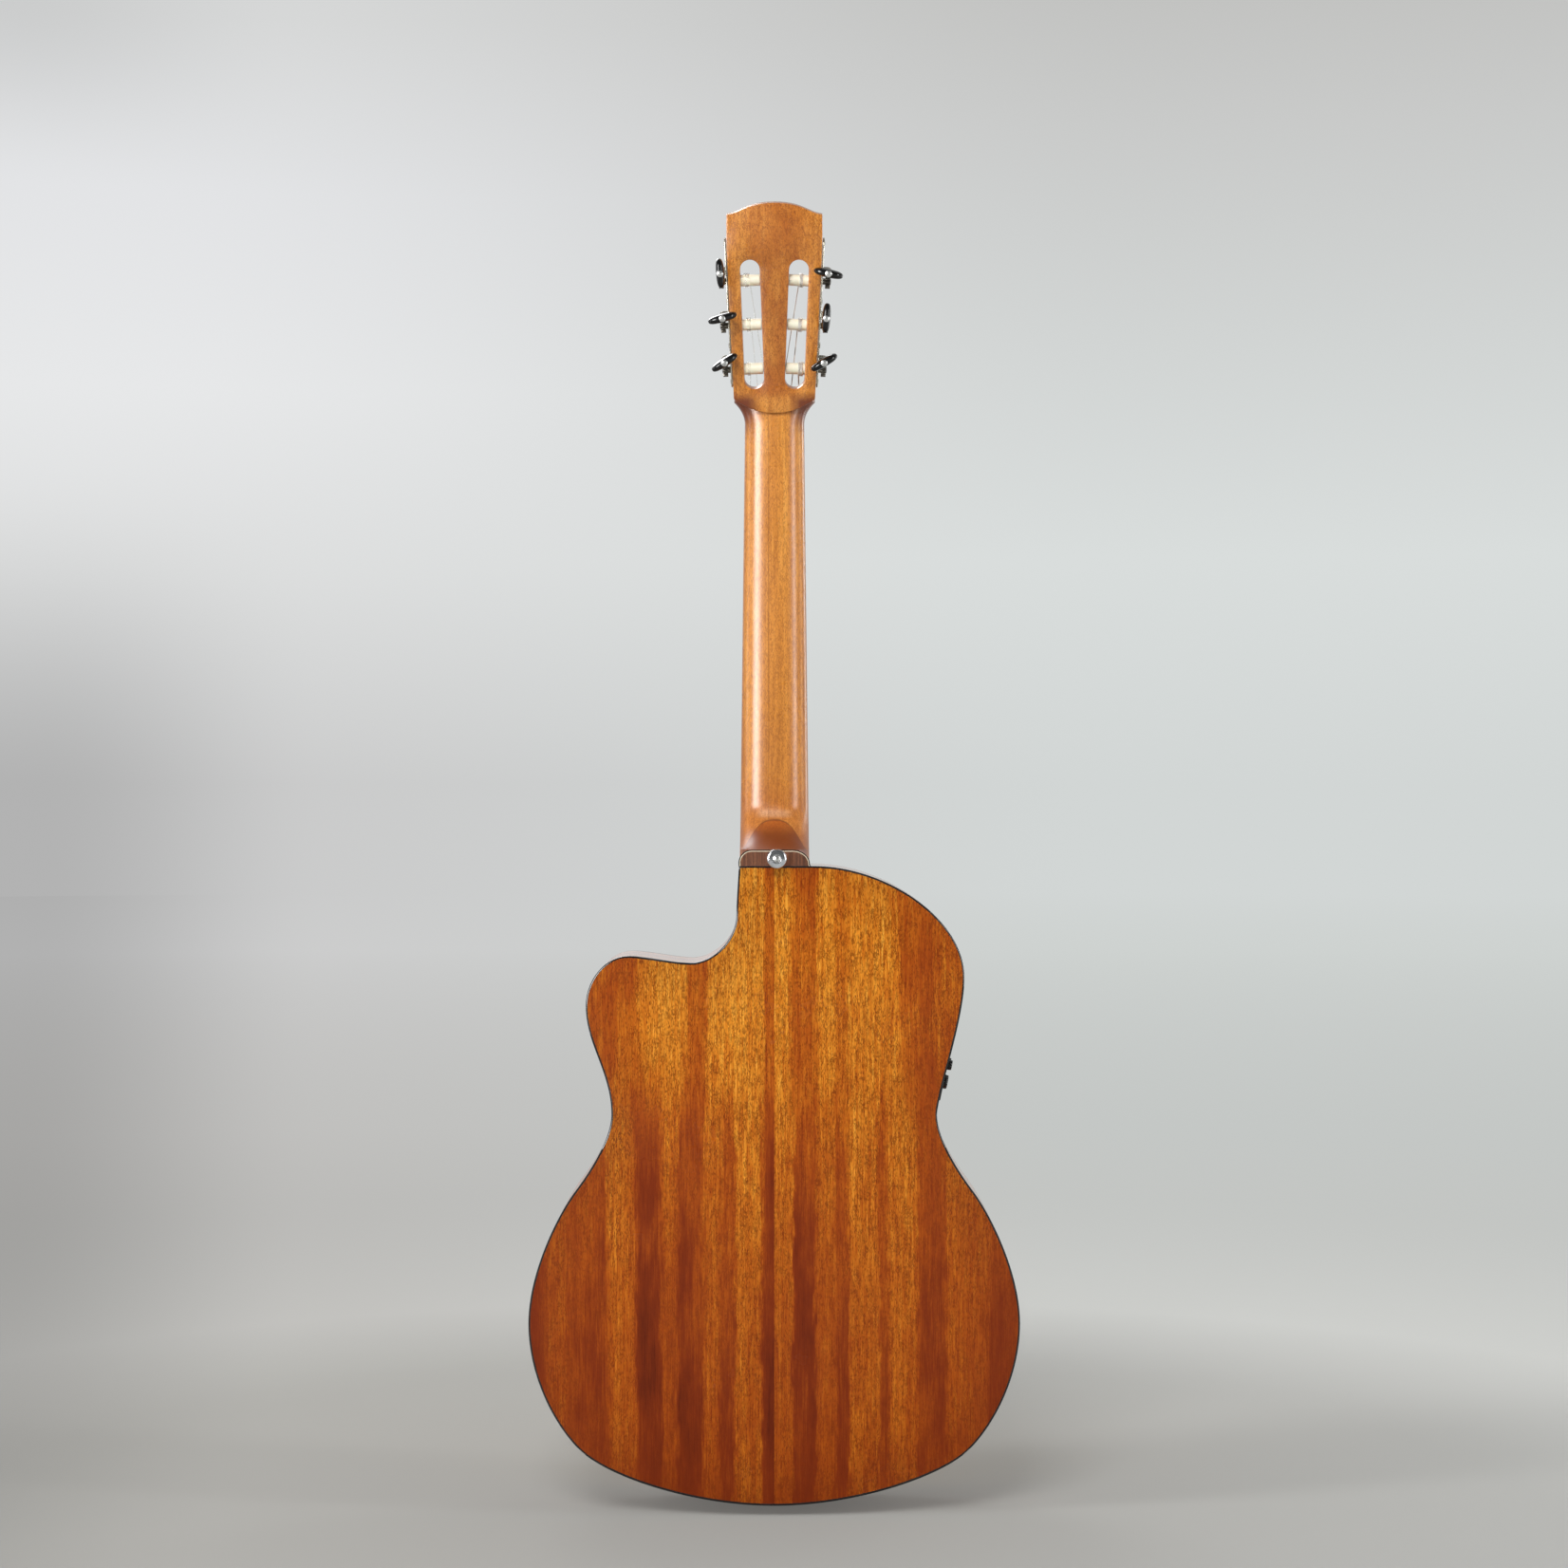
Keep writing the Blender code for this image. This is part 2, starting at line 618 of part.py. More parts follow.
def make_back():
    """Arched mahogany back, let in between the bindings."""
    outline = inset(RIM, BINDING_WIDTH + CLEARANCE)
    slab("back_plate", outline, back_at(BACK_THICKNESS), back_at(0), MAHOGANY, grid=0.055)


def make_sides():
    """Two bent ribs that meet at the tail and behind the heel."""
    front = front_at(BINDING_HEIGHT + CLEARANCE)
    back = back_at(BINDING_HEIGHT + CLEARANCE)
    inner = inset(RIM, SIDE_THICKNESS)
    bass_outer, bass_inner = RIM[:BASS_COUNT + 1], inner[:BASS_COUNT + 1]
    treble_outer = RIM[BASS_COUNT + 1:] + RIM[:1]
    treble_inner = inner[BASS_COUNT + 1:] + inner[:1]
    seam = Vector((CLEARANCE / 2, 0))
    bass_outer = [bass_outer[0] - seam] + bass_outer[1:]
    bass_inner = [bass_inner[0] - seam] + bass_inner[1:]
    treble_outer = treble_outer[:-1] + [treble_outer[-1] + seam]
    treble_inner = treble_inner[:-1] + [treble_inner[-1] + seam]
    bass = band("side_bass", bass_outer, bass_inner, front, back, MAHOGANY)
    treble = band("side_treble", treble_outer, treble_inner, front, back, MAHOGANY)
    cut(bass, box("panel_opening", (-0.015, -PANEL_WIDTH / 2 - CLEARANCE, -PANEL_LENGTH / 2 - CLEARANCE),
                  (0.015, PANEL_WIDTH / 2 + CLEARANCE, PANEL_LENGTH / 2 + CLEARANCE), frame=PANEL_FRAME))
    cut(bass, truss_hole("side_truss_hole"))
    for side in (bass, treble):
        cut(side, jack_hole(f"{side.name}_jack_hole"))


def truss_hole(name):
    low = BODY_LENGTH - NECK_BLOCK_LENGTH - 0.02
    return rod(name, TRUSS_ROD_RADIUS + CLEARANCE, low, BODY_LENGTH + 0.01, STEEL, BODY_FRAME,
               Matrix.Translation((0, TRUSS_ROD_Y, 0)))


def jack_hole(name):
    return rod(name, JACK_BARREL_RADIUS + CLEARANCE, -0.02, 0.05, STEEL, BODY_FRAME, Matrix.Identity(4))


def make_bindings():
    """Black strips let into both edges of the rim."""
    inner = inset(RIM, BINDING_WIDTH)
    band("top_binding", RIM, inner, front_at(0), front_at(BINDING_HEIGHT), BLACK_BINDING, closed=True)
    band("back_binding", RIM, inner, back_at(BINDING_HEIGHT), back_at(0), BLACK_BINDING, closed=True)


def make_linings():
    """Strips glued inside the ribs that carry the soundboard and the back."""
    outer = inset(RIM, SIDE_THICKNESS + CLEARANCE)
    inner = inset(RIM, SIDE_THICKNESS + CLEARANCE + LINING_WIDTH)
    start = SOUNDBOARD_THICKNESS + CLEARANCE
    top = band("top_lining", outer, inner, front_at(start), front_at(start + LINING_HEIGHT), LINING_WOOD,
               closed=True)
    cut(top, truss_hole("lining_truss_hole"))
    start = BACK_THICKNESS + CLEARANCE
    band("back_lining", outer, inner, back_at(start + LINING_HEIGHT), back_at(start), LINING_WOOD, closed=True)


def rim_rise(distance):
    """How far the rim has risen above the tail at a distance from the centre line."""
    for first, second in zip(RIM[:-1], RIM[1:]):
        if -second.x >= distance:
            return first.y + (second.y - first.y) * (distance + first.x) / (first.x - second.x)
    return 0.0


def make_blocks():
    """Blocks at the neck and the tail, stepped where the linings run past them."""
    plate_gap = SOUNDBOARD_THICKNESS + CLEARANCE
    lining_gap = plate_gap + LINING_HEIGHT + CLEARANCE
    wall = SIDE_THICKNESS + CLEARANCE
    past_lining = wall + LINING_WIDTH + CLEARANCE
    low = BODY_LENGTH - NECK_BLOCK_LENGTH
    back_y = back_at(plate_gap)(NECK_BLOCK_INNER_WIDTH / 2, BODY_LENGTH)
    back_lining_y = back_at(lining_gap)(NECK_BLOCK_WIDTH / 2, BODY_LENGTH)
    half = NECK_BLOCK_INNER_WIDTH / 2
    neck = box("neck_block", (-half, FRONT_Y + plate_gap, low), (half, back_y, BODY_LENGTH - past_lining))
    half = NECK_BLOCK_WIDTH / 2
    join(neck, box("neck_block_step", (-half, FRONT_Y + lining_gap, low + 0.002),
                   (half, back_lining_y, BODY_LENGTH - wall)))
    cut(neck, truss_hole("block_truss_hole"))
    half = TAIL_BLOCK_WIDTH / 2
    rise = rim_rise(half)
    foot = wall + rise
    top = foot + TAIL_BLOCK_LENGTH
    back_y = back_at(plate_gap)(half, top)
    back_lining_y = back_at(lining_gap)(half, top)
    tail = box("tail_block", (-half, FRONT_Y + plate_gap, past_lining + rise), (half, back_y, top))
    join(tail, box("tail_block_step", (-half + 0.001, FRONT_Y + lining_gap, foot),
                   (half - 0.001, back_lining_y, top - 0.001)))
    cut(tail, jack_hole("tail_block_jack_hole"))


def strip_between(name, start, end, width, front, back, grid=None):
    """A straight brace between two points of the XZ plane."""
    start, end = Vector(start), Vector(end)
    along = (end - start).normalized()
    across = Vector((along.y, -along.x)) * width / 2
    corners = [start - across, end - across, end + across, start + across]
    return slab(name, corners, front, back, BRACE_SPRUCE, grid=grid)


def make_top_braces():
    """Two harmonic bars, a strut each side of the soundhole, fans and closing bars."""
    seat = SOUNDBOARD_THICKNESS + CLEARANCE
    front, low = front_at(seat), front_at(seat + TOP_BRACE_HEIGHT)
    tall = front_at(seat + HARMONIC_BAR_HEIGHT)
    bar_z = SOUNDHOLE_HEIGHT - SOUNDHOLE_RADIUS - LOWER_BAR_GAP
    upper_z = SOUNDHOLE_HEIGHT + SOUNDHOLE_RADIUS + UPPER_BAR_GAP
    width = HARMONIC_BAR_WIDTH
    braces = strip_between("top_braces", bar_end(-1, bar_z, width), bar_end(1, bar_z, width), width, front, tall)
    join(braces, strip_between("upper_bar", bar_end(-1, upper_z, width), bar_end(1, upper_z, width), width,
                               front, tall))
    strut_x = SOUNDHOLE_RADIUS + STRUT_GAP
    cutaway_z = max(crossings(INSIDE, 0, strut_x + FAN_WIDTH / 2))
    join(braces, strip_between("bass_strut", (-strut_x, bar_z), (-strut_x, upper_z), FAN_WIDTH, front, low))
    join(braces, strip_between("treble_strut", (strut_x, bar_z), (strut_x, min(cutaway_z, upper_z)), FAN_WIDTH,
                               front, low))
    for i in range(FAN_COUNT):
        order = i - (FAN_COUNT - 1) / 2
        foot = FAN_FOOT + FAN_FOOT_STEP * abs(order)
        join(braces, strip_between(f"fan_{i + 1}", (order * FAN_SPREAD, foot), (order * FAN_GATHER, bar_z),
                                   FAN_WIDTH, front, low))
    for side in (-1, 1):
        (start_x, start_z), (end_x, end_z) = CLOSING_BAR_START, CLOSING_BAR_END
        join(braces, strip_between(f"closing_bar_{side}", (side * start_x, start_z), (side * end_x, end_z),
                                   FAN_WIDTH, front, low))


def make_back_braces():
    """Three bars across the back and the strip along its seam."""
    seat = BACK_THICKNESS + CLEARANCE
    back = back_at(seat)
    low = (0, TAIL_BLOCK_LENGTH + TAIL_STRIP_GAP)
    high = (0, BODY_LENGTH - NECK_BLOCK_LENGTH - NECK_STRIP_GAP)
    strip = strip_between("back_braces", low, high, BACK_STRIP_WIDTH, back_at(seat + BACK_STRIP_HEIGHT), back, 0.05)
    heights = (LOWER_BOUT_HEIGHT + LOWER_BACK_BAR_RISE, WAIST_HEIGHT, UPPER_BOUT_HEIGHT - UPPER_BACK_BAR_DROP)
    for i, height in enumerate(heights):
        ends = [bar_end(side, height, BACK_BAR_WIDTH) for side in (-1, 1)]
        join(strip, strip_between(f"back_bar_{i + 1}", *ends, BACK_BAR_WIDTH, back_at(seat + BACK_BAR_HEIGHT), back,
                                  0.03))


def neck_half_width(z):
    """Half the neck's width, which follows the fretboard's taper."""
    share = (z - BODY_LENGTH) / (NUT_Z - BODY_LENGTH)
    return (WIDTH_AT_BODY + (WIDTH_AT_NUT - WIDTH_AT_BODY) * share) / 2


def neck_sections():
    """(z, half width, y of the back, squareness) from the heel to the head."""
    heel_top = BODY_LENGTH + HEEL_LENGTH
    cap_seat = BACK_AT_HEEL_Y - HEEL_CAP_THICKNESS - CLEARANCE
    scoop_top = heel_top + HEEL_SCOOP_LENGTH
    reach = cap_seat - SHAFT_BACK_AT_BODY_Y
    sections = [(BODY_LENGTH + CLEARANCE, neck_half_width(BODY_LENGTH), cap_seat, 9.0)]
    scoop_steps = 9
    for i in range(scoop_steps + 1):
        turn = pi / 2 * i / scoop_steps
        z = scoop_top - HEEL_SCOOP_LENGTH * cos(turn)
        sections.append((z, neck_half_width(z), cap_seat - reach * sin(turn), 9.0 - 6.6 * sin(turn) ** 3))
    flare_start = HEAD_BEND_Z - FLARE_LENGTH
    sections.append((flare_start, neck_half_width(flare_start), SHAFT_BACK_AT_NUT_Y, 2.4))
    flare_steps = 6
    narrow = neck_half_width(flare_start)
    for i in range(1, flare_steps + 1):
        share = i / flare_steps
        wide = narrow + (HEAD_FOOT_WIDTH / 2 - narrow) * share**2.2
        sections.append((flare_start + FLARE_LENGTH * share, wide, SHAFT_BACK_AT_NUT_Y, 2.4 + 0.8 * share))
    sections.append((HEAD_BEND_Z + 0.004, HEAD_FOOT_WIDTH / 2, SHAFT_BACK_AT_NUT_Y, 3.2))
    return sections


def section_points(z, half_width, back, squareness):
    """One cross-section: flat along the glue plane, rounded behind."""
    points = []
    for i in range(NECK_SECTION_POINTS + 1):
        turn = pi * i / NECK_SECTION_POINTS
        across = abs(cos(turn)) ** (2 / squareness) * (1 if cos(turn) > 0 else -1)
        depth = abs(sin(turn)) ** (2 / squareness) if 0 < i < NECK_SECTION_POINTS else 0.0
        points.append((half_width * across, FRONT_Y + (back - FRONT_Y) * depth, z))
    return points


def lofted(name, rows, look, frame=BODY_FRAME, place=Matrix.Identity(4), smooth=35):
    """A closed skin over rows of matching points, capped at both ends."""
    bm = bmesh.new()
    rings = [[bm.verts.new(point) for point in row] for row in rows]
    count = len(rings[0])
    for lower, upper in zip(rings[:-1], rings[1:]):
        for i in range(count):
            after = (i + 1) % count
            bm.faces.new((lower[i], lower[after], upper[after], upper[i]))
    bm.faces.new(rings[0])
    bm.faces.new(rings[-1])
    return piece(name, finished(name, bm, smooth), look, frame, place)


def head_outline(foot):
    """The head seen face on, down to a straight or arched foot given as points."""
    corner = HEAD_LENGTH - HEAD_CORNER_DROP
    half = HEAD_TOP_WIDTH / 2
    crown = bezier(Vector((CROWN_FLAT / 2, HEAD_LENGTH)), Vector((CROWN_FLAT / 2 + 0.009, HEAD_LENGTH)),
                   Vector((half - 0.0105, corner + 0.0013)), Vector((half, corner)), 6)
    right = crown + [Vector((half, corner)), Vector((half, HEAD_TAPER_TOP))]
    left = [Vector((-p.x, p.y)) for p in right[::-1]]
    return right + foot + left


def head_arc():
    """Lower edge of the head's back: an arc that hangs below the neck's flare."""
    half = HEAD_FOOT_WIDTH / 2
    radius = (half * half + HEAD_ARC_DROP**2) / (2 * HEAD_ARC_DROP)
    reach = atan2(half, radius - HEAD_ARC_DROP)
    centre = HEAD_FOOT_HEIGHT - HEAD_ARC_DROP + radius
    steps = 12
    turns = [reach - 2 * reach * i / steps for i in range(steps + 1)]
    return [Vector((radius * sin(turn), centre - radius * cos(turn))) for turn in turns]


def slot_outline(side, foot):
    """A slot with round ends, leaning outwards towards the top of the head."""
    radius = SLOT_WIDTH / 2
    lower = Vector((side * SLOT_FOOT_X, foot + radius))
    upper = Vector((side * SLOT_TOP_X, SLOT_TOP - radius))
    lean = atan2(upper.x - lower.x, upper.y - lower.y)
    steps = 8
    points = []
    for centre, start in ((upper, 0.0), (lower, pi)):
        for i in range(steps + 1):
            turn = start + pi * i / steps - lean
            points.append(centre + Vector((cos(turn), sin(turn))) * radius)
    return points


def make_neck():
    """Heel, shaft and slotted head in one piece of mahogany."""
    neck = lofted("neck", [section_points(*section) for section in neck_sections()], NECK_MAHOGANY)
    join(neck, slab("head_slab", head_outline(head_arc()), flat(0), flat(HEAD_THICKNESS), NECK_MAHOGANY,
                    HEAD_FRAME))
    wide, deep = HEAD_TOP_WIDTH, TRIM_REACH
    cut(neck, box("glue_plane", (-wide, FRONT_Y - deep, BODY_LENGTH - NECK_BLOCK_LENGTH),
                  (wide, FRONT_Y, HEAD_BEND_Z + TRIM_OVERLAP)))
    cut(neck, box("face_plane", (-wide, -deep, -TRIM_OVERLAP), (wide, 0, TRIM_REACH), frame=HEAD_FRAME))
    half = TRUSS_ROD_RADIUS + CLEARANCE
    cut(neck, box("truss_channel", (-half, FRONT_Y - 0.01, BODY_LENGTH - 0.01),
                  (half, TRUSS_ROD_Y + half, NUT_Z - TRUSS_ROD_TOP_MARGIN + CLEARANCE)))
    for side in (-1, 1):
        cut(neck, slab(f"slot_{side}", slot_outline(side, SLOT_FOOT), flat(-deep), flat(deep + HEAD_THICKNESS), NECK_MAHOGANY,
                       HEAD_FRAME))
        for i in range(3):
            cut(neck, roller_hole(side, i))


def roller_height(index):
    return FIRST_ROLLER + ROLLER_SPACING * index


def strip_edge(side_index):
    """Distance from the head's edge to the inner edge of its slot, at one roller."""
    height = roller_height(side_index)
    share = (height - SLOT_FOOT) / (SLOT_TOP - SLOT_FOOT)
    centre = SLOT_FOOT_X + (SLOT_TOP_X - SLOT_FOOT_X) * share
    return EDGE_FOOT + height * tan(EDGE_SLOPE) - centre + SLOT_WIDTH / 2


def roller_hole(side, index):
    """Hole through the edge for the roller, and a blind one in the centre strip for its pin."""
    reach = strip_edge(index)
    wide, narrow = ROLLER_RADIUS + CLEARANCE, ROLLER_PIN_RADIUS + CLEARANCE
    step = reach - SLOT_WIDTH / 2
    end = reach + ROLLER_PIN_LENGTH + CLEARANCE
    profile = [(0, 0.01), (wide, 0.01), (wide, -step), (narrow, -step), (narrow, -end), (0, -end)]
    return turned(f"roller_hole_{side}_{index}", profile, NECK_MAHOGANY, EDGE_FRAMES[side],
                  along_x(0, ROLLER_DEPTH, roller_height(index), side))


def make_head_veneer():
    """Dark face of the head, opened above the slots with ramps towards the nut."""
    half = HEAD_FOOT_WIDTH / 2 - 0.0003
    foot = [Vector((half, 0.0007)), Vector((-half, 0.0007))]
    veneer = slab("head_veneer", head_outline(foot), flat(-VENEER_THICKNESS - CLEARANCE), flat(-CLEARANCE),
                  DARK_WOOD, HEAD_FRAME)
    for side in (-1, 1):
        cut(veneer, slab(f"veneer_slot_{side}", slot_outline(side, SLOT_FOOT - SLOT_RAMP), flat(-0.03),
                         flat(0.03), DARK_WOOD, HEAD_FRAME))


def fret_height(fret):
    """Distance of a fret from the nut's face."""
    return SCALE_LENGTH * (1 - 2 ** (-fret / 12))


def make_fretboard():
    """Dark fretboard with its frets seated in it."""
    glue = FRONT_Y - CLEARANCE
    face = glue - FRETBOARD_THICKNESS
    foot = NUT_Z - fret_height(FRET_COUNT) - FRETBOARD_OVERHANG
    top = NUT_Z - CLEARANCE
    low, high = neck_half_width(foot), neck_half_width(top)
    outline = [(-low, foot), (low, foot), (high, top), (-high, top)]
    board = slab("fretboard", outline, flat(face), flat(glue), DARK_WOOD)
    for fret in range(1, FRET_COUNT + 1):
        z = NUT_Z - fret_height(fret)
        half = neck_half_width(z) - FRET_END_INSET
        join(board, box(f"fret_{fret}", (-half, face - FRET_HEIGHT, z - FRET_WIDTH / 2),
                        (half, face + FRET_TANG, z + FRET_WIDTH / 2), STEEL))


def make_nut():
    low = NUT_Z
    half = WIDTH_AT_NUT / 2
    nut = box("nut", (-half, FRONT_Y - NUT_HEIGHT, low), (half, FRONT_Y - CLEARANCE, low + NUT_LENGTH), BONE)
    edge = nut.modifiers.new("eased_edges", "BEVEL")
    edge.width = 0.0006
    edge.segments = 1


def make_truss_rod():
    """Adjustable rod in the neck, with its hexagon nut inside the body."""
    low = BODY_LENGTH - NECK_BLOCK_LENGTH - 0.004
    top = NUT_Z - TRUSS_ROD_TOP_MARGIN
    at = Matrix.Translation((0, TRUSS_ROD_Y, 0))
    rod("truss_rod", TRUSS_ROD_RADIUS, low, top, STEEL, BODY_FRAME, at)
    nut_top = low - CLEARANCE
    nut = rod("truss_nut", TRUSS_NUT_RADIUS, nut_top - TRUSS_NUT_LENGTH, nut_top, STEEL, BODY_FRAME, at)
    key = rod("truss_key_socket", 0.0023, nut_top - TRUSS_NUT_LENGTH - 0.005, nut_top - 0.004, STEEL, BODY_FRAME,
              at, 6)
    cut(nut, key)


def make_heel_cap():
    half = WIDTH_AT_BODY / 2
    low, high = BODY_LENGTH + CLEARANCE, BODY_LENGTH + HEEL_LENGTH
    steps = 4
    corner = []
    for i in range(steps + 1):
        turn = pi / 2 * i / steps
        corner.append((half - HEEL_CAP_CORNER * (1 - cos(turn)), high - HEEL_CAP_CORNER * (1 - sin(turn))))
    outline = [(-half, low), (half, low)] + corner + [(-x, z) for x, z in corner[::-1]]
    slab("heel_cap", outline, flat(BACK_AT_HEEL_Y - HEEL_CAP_THICKNESS), flat(BACK_AT_HEEL_Y), DARK_WOOD)


def make_strap_button():
    rim, length = STRAP_BUTTON_RADIUS, STRAP_BUTTON_LENGTH
    profile = [(0, length), (rim - 0.0012, length), (rim, length - 0.0009), (rim, length - 0.0022),
               (0.0040, length - 0.0050), (0.0038, 0.0025), (0.0052, 0), (0, 0)]
    turned("strap_button", profile, CHROME, BODY_FRAME,
           along_y(STRAP_BUTTON_X, BACK_AT_HEEL_Y + CLEARANCE, BODY_LENGTH + STRAP_BUTTON_RISE), 16)


def make_endpin_jack():
    """Output socket through the tail, which is also the lower strap pin."""
    flange, barrel, bore = JACK_FLANGE_RADIUS, JACK_BARREL_RADIUS, JACK_BORE_RADIUS
    end = -JACK_FLANGE_LENGTH
    profile = [(0, JACK_BARREL_LENGTH), (barrel, JACK_BARREL_LENGTH), (barrel, -CLEARANCE),
               (flange - 0.0015, -CLEARANCE), (flange - 0.0025, end + 0.0035), (flange, end + 0.0015),
               (flange - 0.0006, end), (bore, end), (bore, JACK_BARREL_LENGTH - 0.006),
               (0, JACK_BARREL_LENGTH - 0.006)]
    turned("endpin_jack", profile, CHROME, BODY_FRAME, Matrix.Identity(4), 16)


def make_bridge():
    """Dark bridge with thin wings, a tie block and the slot for the saddle."""
    glue = FRONT_Y - CLEARANCE
    top = glue - TIE_BLOCK_HEIGHT
    valley = glue - VALLEY_HEIGHT
    crest = glue - RIDGE_HEIGHT
    tail, front = SADDLE_Z - BRIDGE_BACK, SADDLE_Z + BRIDGE_FRONT
    tie_end = tail + TIE_BLOCK_LENGTH
    ridge = SADDLE_THICKNESS / 2 + 0.0018
    profile = [(glue, tail), (top, tail), (top, tie_end), (valley, tie_end + 0.0004),
               (valley, SADDLE_Z - ridge - 0.0003), (crest, SADDLE_Z - ridge), (crest, SADDLE_Z + ridge),
               (glue - WING_HEIGHT, front), (glue, front)]
    half = BRIDGE_CENTRE_LENGTH / 2
    rows = [[(x, y, z) for y, z in profile] for x in (-half, half)]
    bridge = lofted("bridge", rows, DARK_WOOD)
    long_half = BRIDGE_LENGTH / 2
    join(bridge, box("bridge_wings", (-long_half, glue - WING_HEIGHT, tail + 0.0007),
                     (long_half, glue, front - 0.0007), DARK_WOOD))
    slot_half = SADDLE_THICKNESS / 2 + CLEARANCE
    slot_floor = crest + SADDLE_SLOT_DEPTH
    cut(bridge, box("saddle_slot", (-SADDLE_LENGTH / 2 - CLEARANCE, top - 0.01, SADDLE_Z - slot_half),
                    (SADDLE_LENGTH / 2 + CLEARANCE, slot_floor, SADDLE_Z + slot_half)))
    for number in range(1, 7):
        x = string_x(number, SPACING_AT_SADDLE)
        cut(bridge, rod(f"tie_hole_{number}", TIE_HOLE_RADIUS, tail - 0.005, tie_end + 0.002, DARK_WOOD,
                        BODY_FRAME, Matrix.Translation((x, glue - TIE_HOLE_HEIGHT, 0)), 8))
    pickup_top = slot_floor - CLEARANCE - PICKUP_THICKNESS
    box("saddle_pickup", (-PICKUP_LENGTH / 2, pickup_top, SADDLE_Z - SADDLE_THICKNESS / 2),
        (PICKUP_LENGTH / 2, slot_floor - CLEARANCE, SADDLE_Z + SADDLE_THICKNESS / 2), STEEL)
    saddle = box("saddle", (-SADDLE_LENGTH / 2, FRONT_Y - SADDLE_HEIGHT, SADDLE_Z - SADDLE_THICKNESS / 2),
                 (SADDLE_LENGTH / 2, pickup_top - CLEARANCE, SADDLE_Z + SADDLE_THICKNESS / 2), BONE)
    edge = saddle.modifiers.new("eased_edges", "BEVEL")
    edge.width = 0.0006
    edge.segments = 1


def string_x(number, spacing):
    """String 1 is the thin treble string at +X, string 6 the low one at -X."""
    return (3.5 - number) * spacing


def string_roller(number):
    """(side, index) of the roller that holds a string; index 0 is next to the nut."""
    return (1, number - 1) if number <= 3 else (-1, 6 - number)


def winding(number):
    """Points of a string's turns round its roller, and the frame's matrix."""
    side, index = string_roller(number)
    gauge = STRING_GAUGES[number - 1]
    radius = ROLLER_RADIUS + CLEARANCE + gauge / 2
    matrix = head_matrix() @ edge_matrix(side)
    start_turn = radians(20) if index == 0 else radians(10)
    steps = int(round(STRING_TURNS[number - 1] * TURN_POINTS))
    points = []
    for i in range(steps + 1):
        turn = start_turn + 2 * pi * i / TURN_POINTS
        across = STRING_START_Q[index] + (gauge + TURN_GAP) * i / TURN_POINTS
        points.append((side * across, ROLLER_DEPTH - radius * cos(turn), roller_height(index) + radius * sin(turn)))
    last, before = Vector(points[-1]), Vector(points[-2])
    points.append(tuple(last + (last - before).normalized() * gauge))
    return [matrix @ Vector(point) for point in points]


def string_route(number):
    """A string from its tie at the bridge, over saddle and nut, to its turns on the roller."""
    gauge = STRING_GAUGES[number - 1]
    x = string_x(number, SPACING_AT_SADDLE)
    glue = FRONT_Y - CLEARANCE
    tail = SADDLE_Z - BRIDGE_BACK
    hole_y = glue - TIE_HOLE_HEIGHT
    block_top = glue - TIE_BLOCK_HEIGHT
    over = CLEARANCE + gauge / 2
    tie_end = tail + TIE_BLOCK_LENGTH
    saddle_top = FRONT_Y - SADDLE_HEIGHT - over
    route = [
        Vector((x, block_top - over - 0.0001, tie_end - 0.0010)),
        Vector((x, block_top - over - 0.0001, tail + 0.0003)),
        Vector((x, block_top - over + 0.0008, tail - over - 0.0002)),
        Vector((x, hole_y - 0.0008, tail - over - 0.0004)),
        Vector((x, hole_y, tail - 0.0008)),
        Vector((x, hole_y, tie_end + 0.0004)),
        Vector((x, hole_y - 0.0012, tie_end + 0.0014)),
        Vector((x, saddle_top + 0.0006, SADDLE_Z - SADDLE_THICKNESS / 2 - 0.0008)),
        Vector((x, saddle_top, SADDLE_Z - 0.0009)),
        Vector((x, saddle_top, SADDLE_Z + 0.0009)),
        Vector((string_x(number, SPACING_AT_NUT), FRONT_Y - NUT_HEIGHT - over, NUT_Z + 0.0004)),
        Vector((string_x(number, SPACING_AT_NUT), FRONT_Y - NUT_HEIGHT - over, NUT_Z + NUT_LENGTH - 0.0004)),
    ]
    return route + winding(number)


def least_gap(points, thickness):
    """Smallest distance between turns of a line, less its thickness."""
    apart = TURN_POINTS // 2
    found = [
        (points[i] - points[j]).length
        for i in range(len(points))
        for j in range(i + apart, len(points))
    ]
    return min(found) - thickness


def make_strings():
    """Three nylon treble strings and three wound bass strings, each one unbroken tube."""
    for number in range(1, 7):
        gauge = STRING_GAUGES[number - 1]
        points = string_route(number)
        curve = bpy.data.curves.new(f"string_{number}", "CURVE")
        curve.dimensions = "3D"
        curve.bevel_depth = gauge / 2
        curve.bevel_resolution = 1
        curve.use_fill_caps = True
        line = curve.splines.new("POLY")
        line.points.add(len(points) - 1)
        for spot, point in zip(line.points, points):
            spot.co = (*point, 1.0)
        piece(f"string_{number}", curve, NYLON if number <= 3 else WOUND_STRING)
        turns = points[-int(STRING_TURNS[number - 1] * TURN_POINTS):]
        print(f"string_{number}: least gap between turns {least_gap(turns, gauge) * 1000:.2f} mm")


